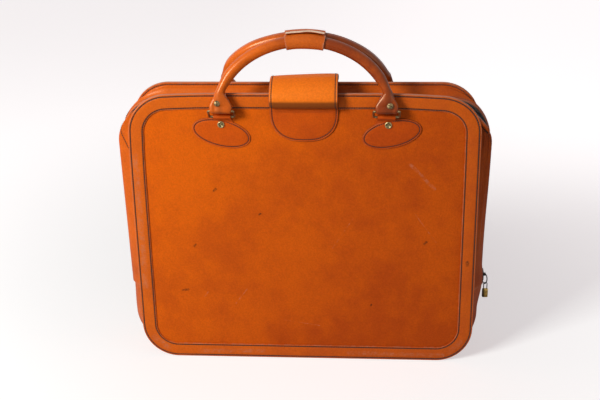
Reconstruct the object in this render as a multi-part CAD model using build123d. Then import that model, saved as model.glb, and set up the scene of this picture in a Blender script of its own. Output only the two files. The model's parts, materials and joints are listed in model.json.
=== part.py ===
from build123d import *
from math import asin, cos, degrees, radians, sin
import os

# Soft sided leather case that stands on the lower rims of its two panels.
# Millimetres, +Z up, X across the case, the front panel faces -Y.
# The origin is on the floor, under the middle of the whole outline with its padlock.

# Driving dimensions: panels
case_width = 460.0
panel_height = 385.0
corner_radius = 50.0
base_depth = 100.0
panel_lean = 4.0
leather = 2.0
board = 2.6
lining = 1.0
rim = 1.0
foot_wear = 0.3
band_width = 19.5
band_thickness = 1.6

# Driving dimensions: gusset and zip
gusset_leather = 2.0
gusset_bulge = 14.0
gusset_droop = 16.0
gusset_radius = 52.0
gusset_lift = 1.8
mouth_half = 7.2
zip_end_height = 103.0
tape_thickness = 1.0
row_inner = 2.6
row_width = 1.8
row_height = 2.4
stop_height = 5.0
stop_proud = 1.2

# Driving dimensions: zip slider, its pull and the padlock
slider_length = 12.0
slider_half_width = 6.4
slider_plate = 1.5
slider_rise = 1.5
bridge_reach = 3.2
bridge_width = 2.6
bridge_wall = 1.1
pull_wire = 1.4
pull_length = 15.0
pull_width = 9.0
pull_bend = 1.2
pull_drop = 79.0
lock_width = 8.0
lock_height = 13.0
lock_thickness = 5.0
shackle_wire = 1.3
shackle_spread = 4.6
shackle_height = 10.0
lock_travel = 3.0
shackle_hold = 2.0

# Driving dimensions: handles, rings and the oval patches that hold them
fittings_shift = 2.5
ring_spacing = 211.0
ring_width = 36.0
ring_wire = 3.0
ring_bend = 2.0
ring_height = 366.0
ring_stand_off = 16.0
chape_drop = 10.4
chape_stand_off = 5.2
chape_width = 22.0
chape_leather = 1.8
patch_spacing = 216.0
patch_length = 78.0
patch_height = 38.0
patch_tilt = 14.0
patch_centre_height = 332.0
patch_leather = 2.0
patch_rivet_height = 344.0
handle_roll = 16.0
handle_half_span = 110.0
handle_rise = 88.0
handle_foot_rise = 20.0
tab_width = 29.0
tab_rise = 9.0
tab_leather = 2.0
rivet_head = 7.6
rivet_shank = 3.0
rivet_proud = 1.3
handle_rivet_rise = 12.0
handle_rivet_shift = 2.0
sleeve_width = 49.0
sleeve_leather = 1.6
sleeve_shift = 2.0

# Driving dimensions: closure strap, the tongue below it and its magnetic catch
strap_width = 90.0
strap_leather = 3.0
strap_front = 10.5
strap_crown = 15.0
strap_landing = 2.0
strap_end_radius = 25.0
tongue_drop = 64.0
tongue_leather = 2.2
tongue_lap = 6.5
lap_ramp = 4.0
fold_rise = 5.0
magnet_diameter = 10.0
magnet_thickness = 1.2
catch_width = 28.0

# Clearances
soft_gap = 0.3
sew_gap = 0.2
pin_gap = 0.1
zip_gap = 0.15
hinge_gap = 1.2

# Dependent places
lean = radians(panel_lean)
panel_foot = leather * sin(lean) - foot_wear
stack = leather + board + lining
half_width = case_width / 2
ring_r = ring_wire / 2
roll_r = handle_roll / 2


def panel_point(x, v, n):
    """A point given across, up and out of the front panel's outer face."""
    y = -base_depth / 2 + v * sin(lean) - n * cos(lean)
    z = panel_foot + v * cos(lean) + n * sin(lean)
    return Vector(x, y, z)


def front_plane(n=0.0):
    """The front panel's plane, n millimetres out of its outer face."""
    return Plane(origin=panel_point(0, 0, n), x_dir=(1, 0, 0), z_dir=(0, -cos(lean), sin(lean)))


def upright_plane(y):
    """A plane across the case at depth y, seen from the front."""
    return Plane(origin=(0, y, 0), x_dir=(1, 0, 0), z_dir=(0, -1, 0))


def rear(solid):
    """The same piece on the rear half."""
    return mirror(solid, about=Plane.XZ)


def panel_face(inset):
    """The panel's round cornered outline, drawn in from its edge by inset."""
    width = case_width - 2 * inset
    height = panel_height - 2 * inset
    return Pos(0, panel_height / 2) * RectangleRounded(width, height, corner_radius - inset)


def panel_slab(inset, inner, outer):
    """A plate of the panel's outline between two distances from its outer face."""
    return front_plane(inner) * extrude(panel_face(inset), outer - inner)


panel_top = panel_point(0, panel_height, 0)
mouth_top = panel_top.Z - gusset_droop
mouth_half_width = half_width + gusset_bulge


def mouth_face(inset):
    """The gusset's outline on the upright planes beside the zip."""
    width = 2 * (mouth_half_width - inset)
    height = mouth_top - gusset_lift - 2 * inset
    middle = (mouth_top + gusset_lift) / 2
    return Pos(0, middle) * RectangleRounded(width, height, gusset_radius - inset)


def mouth_ring(outer_inset, inner_inset, near, far):
    """A ring that follows the mouth outline, from depth near to depth far on the front half."""
    face = mouth_face(outer_inset) - mouth_face(inner_inset)
    return upright_plane(-near) * extrude(face, far - near)


def gusset_half(seam_gap):
    """The front half gusset as a closed ring, from the panel's seam to the zip."""
    sewn = front_plane(-leather - seam_gap)
    edge = upright_plane(-mouth_half)
    outer = loft([edge * mouth_face(0), sewn * panel_face(rim)], ruled=True)
    inner_edge = edge * mouth_face(gusset_leather)
    inner_seam = sewn * panel_face(rim + gusset_leather)
    return outer - loft([inner_edge, inner_seam], ruled=True)


def above(solid, height):
    """What lies higher than the given height."""
    return solid & Pos(0, 0, height + 500) * Box(1000, 1000, 1000)


def below(solid, height):
    """What lies lower than the given height."""
    return solid & Pos(0, 0, height - 500) * Box(1000, 1000, 1000)


def rod(start, end, radius):
    """A round bar between two points."""
    start = Vector(*start)
    end = Vector(*end)
    run = end - start
    return Plane(origin=start, z_dir=run) * extrude(Circle(radius), run.length)


def wire_loop(low, high, along, length, bend, radius):
    """A closed link of bent wire, whose two long bars run along a direction at low and high."""
    rise = high - low
    frame = Plane(origin=(low + high) / 2, x_dir=along, z_dir=along.cross(rise))
    path = (frame * RectangleRounded(length, rise.length, bend)).wire()
    return sweep((path ^ 0) * Circle(radius), path=path)


# Panels: leather skin, stiff board, lining and the sewn border band
front_panel_leather = above(panel_slab(0, -leather, 0), 0)
seam = panel_point(0, panel_height - rim, -leather)
droop_slope = (seam.Z - mouth_top) / (-seam.Y - mouth_half)
board_inset = rim + gusset_leather + soft_gap + droop_slope * (board + lining + soft_gap)
front_board = panel_slab(board_inset, -leather - board, -leather)
front_lining = panel_slab(board_inset, -stack, -leather - board)
band_face = panel_face(rim) - panel_face(rim + band_width)
front_band = front_plane(0) * extrude(band_face, band_thickness)

# Half gussets beside the zip and the closed gusset below its end
half_gusset = gusset_half(0)
front_half_gusset = above(half_gusset, zip_end_height + soft_gap)
rear_half_gusset = rear(above(half_gusset, zip_end_height))
base_middle = mouth_ring(0, gusset_leather, -mouth_half, mouth_half)
base_gusset = below(gusset_half(hinge_gap) + base_middle + rear(half_gusset), zip_end_height)

# Zip tapes and tooth rows, with the end stop below the parked slider
row_outer = row_inner + row_width
tape_inset = (gusset_leather - tape_thickness) / 2
row_inset = (gusset_leather - row_height) / 2
slider_bottom = zip_end_height + slider_rise
slider_top = slider_bottom + slider_length
front_zip_start = slider_top + hinge_gap
tape_ring = mouth_ring(tape_inset, gusset_leather - tape_inset, row_outer, mouth_half)
row_ring = mouth_ring(row_inset, gusset_leather - row_inset, row_inner, row_outer)
front_zip_tape = above(tape_ring, front_zip_start)
front_zip_teeth = above(row_ring, front_zip_start)
rear_zip_tape = rear(above(tape_ring, zip_end_height))
rear_zip_teeth = rear(above(row_ring, zip_end_height))
zip_x = mouth_half_width - gusset_leather / 2
stop_place = (mouth_half_width + stop_proud / 2, 0, zip_end_height - stop_height / 2)
zip_end_stop = Pos(*stop_place) * Box(stop_proud, 2 * mouth_half, stop_height)

# Zip slider: two plates round both tooth rows, joined by a divider between them
row_half = row_height / 2 + zip_gap
slider_middle = (slider_bottom + slider_top) / 2
slider_depth = 2 * (row_half + slider_plate)
slider_body = Pos(zip_x, 0, slider_middle) * Box(slider_depth, 2 * slider_half_width, slider_length)
row_channel = row_width + 2 * zip_gap
tape_slot = tape_thickness + 2 * zip_gap
for side in (-1, 1):
    row_place = side * (row_inner + row_width / 2)
    slot_place = side * (row_inner + slider_half_width)
    slider_body -= Pos(zip_x, row_place, slider_middle) * Box(2 * row_half, row_channel, 2 * slider_length)
    slider_body -= Pos(zip_x, slot_place, slider_middle) * Box(
        tape_slot, 2 * slider_half_width, 2 * slider_length
    )
slider_face = zip_x + row_half + slider_plate
pull_r = pull_wire / 2
bridge_eye = pull_r + pin_gap
pivot_x = slider_face + bridge_eye + pin_gap
pivot_z = slider_middle
bridge_length = 2 * (bridge_eye + bridge_wall)
bridge = Pos(slider_face + bridge_reach / 2, 0, pivot_z) * Box(bridge_reach, bridge_width, bridge_length)
bridge -= rod((pivot_x, -bridge_width, pivot_z), (pivot_x, bridge_width, pivot_z), bridge_eye)
slider_body += bridge

# Pull: a wire loop through the slider's bridge, resting nearly straight down
pull_x = pivot_x + pull_length * cos(radians(pull_drop))
pull_z = pivot_z - pull_length * sin(radians(pull_drop))
pull_low = Vector(pull_x, 0, pull_z)
pull_high = Vector(pivot_x, 0, pivot_z)
pull_link = wire_loop(pull_low, pull_high, Vector(0, 1, 0), pull_width - pull_wire, pull_bend, pull_r)

# Padlock: the shackle hangs on the pull and the body slides down its legs
shackle_r = shackle_wire / 2
crown_z = pull_z + pull_r + pin_gap + shackle_r
crown_centre = crown_z - shackle_spread / 2
lock_top = crown_z - shackle_height
leg_low = lock_top - lock_travel - shackle_hold
crown = Pos(pull_x, 0, crown_centre) * Rot(90, 0, 0) * Torus(shackle_spread / 2, shackle_r)
crown = above(crown, crown_centre)
padlock_shackle = crown
for side in (-1, 1):
    leg_x = pull_x + side * shackle_spread / 2
    padlock_shackle += rod((leg_x, 0, leg_low), (leg_x, 0, crown_centre), shackle_r)
padlock_body = Pos(pull_x, 0, lock_top - lock_height / 2) * Box(lock_width, lock_thickness, lock_height)
padlock_body = fillet(padlock_body.edges().filter_by(Axis.Y), 1.2)
for side in (-1, 1):
    leg_x = pull_x + side * shackle_spread / 2
    padlock_body -= rod((leg_x, 0, leg_low - soft_gap), (leg_x, 0, lock_top + 1), shackle_r + pin_gap)

# Rings: one rectangular wire loop at each foot of a handle
ring_low_height = ring_height - chape_drop


def ring(side):
    """The ring at one foot of the front handle."""
    x = fittings_shift + side * ring_spacing / 2
    low = panel_point(x, ring_low_height, chape_stand_off)
    high = panel_point(x, ring_height, ring_stand_off)
    return wire_loop(low, high, Vector(1, 0, 0), ring_width - ring_wire, ring_bend, ring_r)


def patch_rivet(side):
    """The eyelet that holds an oval patch, with its open middle."""
    x = fittings_shift + side * patch_spacing / 2
    seat = front_plane(patch_leather) * Pos(x, patch_rivet_height)
    head = seat * (extrude(Circle(rivet_head / 2) - Circle(rivet_shank / 2), rivet_proud))
    return head


def patch(side):
    """An oval patch with the neck that folds round the ring's lower bar."""
    x = fittings_shift + side * patch_spacing / 2
    ring_x = fittings_shift + side * ring_spacing / 2
    oval = Pos(x, patch_centre_height) * Rot(0, 0, side * patch_tilt) * Ellipse(patch_length / 2, patch_height / 2)
    body = front_plane(0) * extrude(oval, patch_leather)
    neck_low = patch_rivet_height + rivet_head / 2 + sew_gap
    neck_face = Pos(ring_x, (neck_low + ring_low_height) / 2) * Rectangle(chape_width, ring_low_height - neck_low)
    neck = front_plane(0) * extrude(neck_face, chape_stand_off - ring_r)
    eye_r = ring_r + pin_gap
    left = panel_point(ring_x - chape_width / 2, ring_low_height, chape_stand_off)
    right = panel_point(ring_x + chape_width / 2, ring_low_height, chape_stand_off)
    loop = rod(left, right, eye_r + chape_leather)
    bore = rod(left - (1, 0, 0), right + (1, 0, 0), eye_r)
    return body + neck + loop - bore


front_rings = ring(-1) + ring(1)
front_patch_rivets = patch_rivet(-1) + patch_rivet(1)
front_patch_left = patch(-1)
front_patch_right = patch(1)

# Handles: a stiff roll from ring to ring, leaning in until the two keeper sleeves meet
bar = panel_point(0, ring_height, ring_stand_off)
sleeve_r = roll_r + pin_gap + sleeve_leather
handle_lean = asin((-bar.Y - sleeve_r - soft_gap / 2) / handle_rise)


def handle_plane(out=0.0):
    """The front handle's plane, with its origin midway between the ring bars."""
    normal = Vector(0, -cos(handle_lean), sin(handle_lean))
    return Plane(origin=Vector(fittings_shift, bar.Y, bar.Z) + normal * out, x_dir=(1, 0, 0), z_dir=normal)


def handle_arc(low, high):
    """The handle's centre line between two places of the half ellipse, in degrees."""
    return EllipticalCenterArc((0, 0), handle_half_span, handle_rise, low, arc_size=high - low)


foot_angle = degrees(asin(handle_foot_rise / handle_rise))
roll_path = handle_arc(foot_angle, 180 - foot_angle)
roll_local = sweep((roll_path ^ 0) * Circle(roll_r), path=roll_path)
tab_r = ring_r + pin_gap + tab_leather


def handle_foot(side):
    """The flattened foot that folds round the ring's upper bar."""
    tab_x = side * ring_spacing / 2
    top = Plane(roll_path @ 0 if side > 0 else roll_path @ 1, x_dir=(1, 0, 0), z_dir=(0, -1, 0))
    low = Plane((tab_x, tab_rise, 0), x_dir=(1, 0, 0), z_dir=(0, -1, 0))
    flare = loft([top * Circle(roll_r), low * Ellipse(tab_width / 2, tab_r)])
    tab = Pos(tab_x, tab_rise / 2, 0) * Box(tab_width, tab_rise, 2 * tab_r)
    fold = rod((tab_x - tab_width / 2, 0, 0), (tab_x + tab_width / 2, 0, 0), tab_r)
    eye = rod((tab_x - tab_width, 0, 0), (tab_x + tab_width, 0, 0), ring_r + pin_gap)
    return flare + tab + fold - eye


def handle_rivet(side):
    """The slotted rivet through a foot, in the handle's own plane."""
    x = side * (ring_spacing / 2 + handle_rivet_shift)
    shank = rod((x, handle_rivet_rise, 0), (x, handle_rivet_rise, roll_r), rivet_shank / 2)
    seat = tab_r + rivet_proud
    head = rod((x, handle_rivet_rise, seat), (x, handle_rivet_rise, seat + rivet_proud), rivet_head / 2)
    inside = Pos(x, handle_rivet_rise, 0) * Box(rivet_head, rivet_head, 2 * seat)
    return (shank & inside) + head


roll_local = roll_local + handle_foot(1) + handle_foot(-1)
rivets_local = handle_rivet(-1) + handle_rivet(1)
roll_local = roll_local - rivets_local
sleeve_angle = degrees(asin(sleeve_width / 2 / handle_half_span))
shift_angle = degrees(asin(sleeve_shift / handle_half_span))
sleeve_path = handle_arc(90 - sleeve_angle - shift_angle, 90 + sleeve_angle - shift_angle)
sleeve_ring = Circle(sleeve_r) - Circle(roll_r + pin_gap)
sleeve_local = sweep((sleeve_path ^ 0) * sleeve_ring, path=sleeve_path)
front_handle_roll = handle_plane() * roll_local
front_handle_rivets = handle_plane() * rivets_local
front_keeper_sleeve = handle_plane() * sleeve_local

# Tongue: the round ended patch on the front panel, whose top edge laps over the band
tongue_top = panel_height - rim - band_width - sew_gap
tongue_bottom = panel_height - tongue_drop
tongue_r = strap_width / 2
tongue_face = Pos(fittings_shift, tongue_bottom + tongue_r) * Circle(tongue_r)
tongue_face = tongue_face & Pos(fittings_shift, tongue_top - tongue_r) * Rectangle(strap_width, 2 * tongue_r)
strap_tongue = front_plane(0) * extrude(tongue_face, tongue_leather)
lap_top = tongue_top + tongue_lap
lap_outer = band_thickness + tongue_leather
lap_corners = [
    (tongue_top - lap_ramp, tongue_leather),
    (tongue_top - lap_ramp, 0),
    (tongue_top, 0),
    (tongue_top, band_thickness + sew_gap / 2),
    (lap_top, band_thickness + sew_gap / 2),
    (lap_top, lap_outer),
    (tongue_top, lap_outer),
]
lap_places = [tuple(panel_point(0, v, n))[1:] for v, n in lap_corners]
strap_plane = Plane(origin=(fittings_shift - strap_width / 2, 0, 0), x_dir=(0, 1, 0), z_dir=(1, 0, 0))
strap_tongue += strap_plane * extrude(make_face(Polyline(*lap_places, close=True)), strap_width)

# Fold: the tongue's top edge turns out and up, and the strap is hinged on its outer face
strap_r = strap_leather / 2
fold_root = panel_point(0, lap_top - strap_r, lap_outer - sew_gap)
front_y = fold_root.Y - strap_front
crease_height = fold_root.Z + fold_rise
crease_out = front_y - strap_r - soft_gap / 2
fold_points = [
    (fold_root.Y, fold_root.Z),
    (front_y, fold_root.Z),
    (front_y, crease_height - soft_gap / 2),
]
fold_face = trace(FilletPolyline(*fold_points, radius=strap_leather), strap_leather)
strap_tongue += strap_plane * extrude(fold_face, strap_width)

# Strap: rises from the crease over the mouth and lands on the catch behind it
strap_hinge = Vector(fittings_shift, crease_out, crease_height)
crown_top = panel_top.Z + strap_crown
landing_z = panel_top.Z + soft_gap + band_thickness + strap_r
landing_end = -panel_top.Y + strap_landing
strap_points = [
    (front_y, crease_height + soft_gap / 2),
    (front_y, panel_top.Z - strap_leather),
    (front_y + strap_front + strap_r, crown_top - strap_leather),
    (-strap_leather, crown_top),
    (strap_leather, crown_top - strap_leather),
    (2 * strap_leather, landing_z),
    (landing_end, landing_z),
]
strap_line = FilletPolyline(*strap_points, radius=[9.0, 12.0, 6.0, 3.0, 3.0])
strap_face = trace(strap_line, strap_leather)
strap_length = 2 * (landing_end - crease_out)
strap_plan = Pos(fittings_shift, landing_end - strap_length / 2, crease_height) * RectangleRounded(
    strap_width, strap_length, strap_end_radius
)
strap_outline = extrude(strap_plan, 2 * (crown_top - crease_height))
closure_strap = (strap_plane * extrude(strap_face, strap_width)) & strap_outline
wedge_near = mouth_half + soft_gap
wedge_far = -seam.Y - gusset_leather
magnet_y = (wedge_near + wedge_far) / 2
magnet_r = magnet_diameter / 2
under_strap = landing_z - strap_r
strap_magnet = Pos(fittings_shift, magnet_y, under_strap - magnet_thickness / 2) * Cylinder(
    magnet_r, magnet_thickness
)

# Catch: a leather covered wedge on the rear half gusset with its steel plate
plate_top = under_strap - magnet_thickness - soft_gap
plate_low = plate_top - magnet_thickness
catch_plate = Pos(fittings_shift, magnet_y, plate_top - magnet_thickness / 2) * Cylinder(
    magnet_r, magnet_thickness
)
wedge_low = mouth_top + droop_slope * soft_gap + soft_gap
wedge_edge = wedge_low + droop_slope * (wedge_far - wedge_near)
wedge_corners = [(wedge_near, wedge_low), (wedge_far, wedge_edge), (wedge_far, plate_low), (wedge_near, plate_low)]
wedge_face = make_face(Polyline(*wedge_corners, close=True))
catch_plane = Plane(origin=(fittings_shift - catch_width / 2, 0, 0), x_dir=(0, 1, 0), z_dir=(1, 0, 0))
catch_wedge = catch_plane * extrude(wedge_face, catch_width)

pieces = {
    "front_panel_leather": front_panel_leather,
    "front_board": front_board,
    "front_lining": front_lining,
    "front_band": front_band,
    "front_half_gusset": front_half_gusset,
    "front_zip_tape": front_zip_tape,
    "front_zip_teeth": front_zip_teeth,
    "front_rings": front_rings,
    "front_patch_left": front_patch_left,
    "front_patch_right": front_patch_right,
    "front_patch_rivets": front_patch_rivets,
    "front_handle_roll": front_handle_roll,
    "front_handle_rivets": front_handle_rivets,
    "front_keeper_sleeve": front_keeper_sleeve,
    "rear_panel_leather": rear(front_panel_leather),
    "rear_board": rear(front_board),
    "rear_lining": rear(front_lining),
    "rear_band": rear(front_band),
    "rear_half_gusset": rear_half_gusset,
    "rear_zip_tape": rear_zip_tape,
    "rear_zip_teeth": rear_zip_teeth,
    "rear_rings": rear(front_rings),
    "rear_patch_left": rear(front_patch_left),
    "rear_patch_right": rear(front_patch_right),
    "rear_patch_rivets": rear(front_patch_rivets),
    "rear_handle_roll": rear(front_handle_roll),
    "rear_handle_rivets": rear(front_handle_rivets),
    "rear_keeper_sleeve": rear(front_keeper_sleeve),
    "base_gusset": base_gusset,
    "strap_tongue": strap_tongue,
    "closure_strap": closure_strap,
    "strap_magnet": strap_magnet,
    "catch_plate": catch_plate,
    "catch_wedge": catch_wedge,
    "zip_end_stop": zip_end_stop,
    "zip_slider": slider_body,
    "zip_pull": pull_link,
    "padlock_shackle": padlock_shackle,
    "padlock_body": padlock_body,
}
side_shift = (mouth_half_width - pull_x - lock_width / 2) / 2
os.makedirs("parts", exist_ok=True)
for name, solid in pieces.items():
    export_step(Pos(side_shift, 0, 0) * solid, f"parts/{name}.step")

print("moved across by", side_shift)
print("lid hinge", panel_point(side_shift, rim, -rim))
print("handle hinge", bar, "lean", degrees(handle_lean))
print("strap hinge", strap_hinge)
print("pull hinge", pivot_x + side_shift, pivot_z)
print("padlock hinge", pull_x + side_shift, pull_z)
print("slider top", slider_top, "and the straight rows end at", mouth_top - gusset_radius)
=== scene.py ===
import json
import math

import bpy
import numpy as np
from mathutils import Matrix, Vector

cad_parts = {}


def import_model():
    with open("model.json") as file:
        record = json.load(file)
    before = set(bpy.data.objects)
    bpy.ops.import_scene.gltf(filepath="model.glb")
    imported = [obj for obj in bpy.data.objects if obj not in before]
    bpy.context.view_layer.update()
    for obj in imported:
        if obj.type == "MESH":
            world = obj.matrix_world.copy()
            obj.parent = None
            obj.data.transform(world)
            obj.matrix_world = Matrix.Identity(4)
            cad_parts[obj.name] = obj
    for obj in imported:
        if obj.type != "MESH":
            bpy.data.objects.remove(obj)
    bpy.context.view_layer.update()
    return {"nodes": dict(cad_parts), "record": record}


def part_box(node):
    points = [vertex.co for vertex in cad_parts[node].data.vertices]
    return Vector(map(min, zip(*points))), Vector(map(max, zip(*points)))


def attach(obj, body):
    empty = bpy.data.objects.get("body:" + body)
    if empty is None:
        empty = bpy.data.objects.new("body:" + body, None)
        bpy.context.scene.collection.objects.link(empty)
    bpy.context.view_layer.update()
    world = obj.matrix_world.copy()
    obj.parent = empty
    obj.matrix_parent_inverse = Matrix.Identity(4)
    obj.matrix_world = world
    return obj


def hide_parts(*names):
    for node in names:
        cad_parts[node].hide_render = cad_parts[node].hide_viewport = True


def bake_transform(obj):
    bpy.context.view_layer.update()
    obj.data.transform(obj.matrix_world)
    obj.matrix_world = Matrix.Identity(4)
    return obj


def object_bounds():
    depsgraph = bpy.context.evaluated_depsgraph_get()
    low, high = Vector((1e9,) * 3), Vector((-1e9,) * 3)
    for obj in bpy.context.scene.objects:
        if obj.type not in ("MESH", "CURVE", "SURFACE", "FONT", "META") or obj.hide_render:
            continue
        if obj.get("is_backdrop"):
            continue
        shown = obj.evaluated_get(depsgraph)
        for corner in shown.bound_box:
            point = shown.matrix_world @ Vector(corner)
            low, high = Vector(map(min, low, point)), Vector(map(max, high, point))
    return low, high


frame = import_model()

# Sizes of the case in millimetres, as the solids have them
MM = 0.001
CASE_WIDTH = 460.0
PANEL_HEIGHT = 385.0
CORNER = 50.0
BASE_DEPTH = 100.0
LEAN = math.radians(4.0)
LEATHER = 2.0
RIM = 1.0
BAND_WIDTH = 19.5
BAND = 1.6
MOUTH_HALF = 7.2
BULGE = 14.0
DROOP = 16.0
GUSSET_CORNER = 52.0
GUSSET_LIFT = 1.8
GUSSET = 1.6
ZIP_END = 103.0
FITTINGS = 2.5
RING_SPACING = 211.0
RING_HEIGHT = 366.0
RING_OUT = 16.0
RING_WIRE = 3.0
CHAPE_DROP = 10.4
CHAPE_OUT = 5.2
PATCH_SPACING = 216.0
PATCH_LENGTH = 78.0
PATCH_HEIGHT = 38.0
PATCH_TILT = math.radians(14.0)
PATCH_CENTRE = 332.0
PATCH_RIVET = 344.0
HANDLE_SPAN = 110.0
HANDLE_RISE = 88.0
SLEEVE_R = 9.7
SLEEVE_WIDTH = 49.0
STRAP_WIDTH = 88.0
STRAP = 3.0
STRAP_FRONT = 10.5
STRAP_CROWN = 15.0
TONGUE_TOP = PANEL_HEIGHT - RIM - BAND_WIDTH - 0.2
TONGUE_BOTTOM = PANEL_HEIGHT - 64.0
TONGUE = 2.2
LAP = 6.5
OUTER_ROW = 3.0
INNER_ROW = 18.7
STITCH_PITCH = 3.15
PATCH_PITCH = 2.6
STITCH_SLANT = 0.12
BAND_EDGE = RIM + BAND_WIDTH
FOOT = LEATHER * math.sin(LEAN) - 0.3
FLANGE = -LEATHER - GUSSET
PANEL_MIDDLE = np.array([0.0, PANEL_HEIGHT / 2])
SHIFT = (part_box("front_panel_leather")[0].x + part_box("front_panel_leather")[1].x) / 2 / MM
FRONT, REAR = -1.0, 1.0
JOINTS = frame["record"]["behaviour"]["joints"]
PIVOT = {joint["name"]: np.array(joint["pos_m"]) / MM for joint in JOINTS if "pos_m" in joint}
SHELL = {FRONT: "front_shell", REAR: "rear_shell"}
HANDLE = {FRONT: "front_handle", REAR: "rear_handle"}
WORD = {FRONT: "front", REAR: "rear"}

# The front's upper corners, which use has drawn in: each middle, and its draw across and up
WORN_CORNERS = ((-212.0, 368.0, 2.3, -2.8), (200.0, 378.0, -0.6, -3.8))
WORN_REACH = 38.0

# Wear of the rings of an oval or the tongue, from its cut edge to its middle
CUT_WEAR = np.array([0.97, 0.97, 0.97, 0.97, 0.3, 0.1, 0, 0, 0, 0, 0, 0, 0, 0.0])


def corner_draw(x, v):
    """How far use has drawn the front across and up: a bell e^(-d^2 / 2 r^2) round each worn corner."""
    across = up = 0.0
    for x0, v0, draw_across, draw_up in WORN_CORNERS:
        share = np.exp(-((x - x0) ** 2 + (v - v0) ** 2) / (2 * WORN_REACH**2))
        across, up = across + draw_across * share, up + draw_up * share
    return across, up


def panel(side, x, v, n):
    """The point across x, up v and out n of a panel's face, which leans and never goes under the floor."""
    if side < 0:
        across, up = corner_draw(x, v)
        x, v = x + across, v + up
    y = side * (BASE_DEPTH / 2 - v * math.sin(LEAN) + n * math.cos(LEAN))
    z = FOOT + v * math.cos(LEAN) + n * math.sin(LEAN)
    return np.stack(np.broadcast_arrays(x + SHIFT, y, np.maximum(z, 0.0)), -1)


def unit(vectors):
    """The vectors at length one."""
    return vectors / np.maximum(np.linalg.norm(vectors, axis=-1, keepdims=True), 1e-9)


def step(value, low, high):
    """0 below low, 1 above high and 3t^2 - 2t^3 between them."""
    t = np.clip((value - low) / (high - low), 0.0, 1.0)
    return t * t * (3.0 - 2.0 * t)


def bell(value, middle, width):
    """e^(-((value - middle) / width)^2): 1 at the middle, and next to nothing two widths away."""
    return np.exp(-(((value - middle) / width) ** 2))


def full_turn(count):
    """Angles evenly round a circle, the first one at 0."""
    return np.linspace(0, math.tau, count, endpoint=False)


def squared(wave, power):
    """A sine or cosine with its size raised to a power and its sign kept, which squares up its circle."""
    return np.sign(wave) * np.abs(wave) ** power


def solid_box(node):
    """The low and the high corner of a solid's box, in millimetres."""
    return (np.array(corner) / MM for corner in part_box(node))


def normals(points):
    """Unit normals of a grid: the difference along u crossed with the one along v."""
    return unit(np.cross(np.gradient(points, axis=0), np.gradient(points, axis=1)))


def run_length(points, wrap=False):
    """Length along a row of points from its first one, with one more value where it closes."""
    rows = np.concatenate([points, points[:1]]) if wrap else points
    return np.concatenate([[0.0], np.cumsum(np.linalg.norm(np.diff(rows, axis=0), axis=1))])


def from_edges(points, axis):
    """How far each row across an axis of a grid is from the nearer end of that axis, by its mean length."""
    steps = np.linalg.norm(np.diff(points, axis=axis), axis=2).mean(axis=1 - axis)
    length = np.concatenate([[0.0], np.cumsum(steps)])
    return np.minimum(length, length[-1] - length)


def resample(points, places):
    """Points of a line at the given lengths along it, by straight interpolation."""
    length = run_length(points)
    return np.stack([np.interp(places, length, points[:, k]) for k in range(points.shape[1])], -1)


def bezier(p0, p1, p2, p3, t):
    """The cubic (1-t)^3 p0 + 3(1-t)^2 t p1 + 3(1-t)t^2 p2 + t^3 p3 for rows of points."""
    t = t[None, :, None]
    a, b, c, d = p0[:, None], p1[:, None], p2[:, None], p3[:, None]
    return (1 - t) ** 3 * a + 3 * (1 - t) ** 2 * t * b + 3 * (1 - t) * t**2 * c + t**3 * d


def put(name, data):
    """A new object with this data, placed in the scene."""
    thing = bpy.data.objects.new(name, data)
    bpy.context.scene.collection.objects.link(thing)
    return thing


def pairs(many, count):
    """Every pair of a number below many and one below count, as two flat arrays."""
    a, b = np.meshgrid(np.arange(many), np.arange(count), indexing="ij")
    return a.ravel(), b.ravel()


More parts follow.
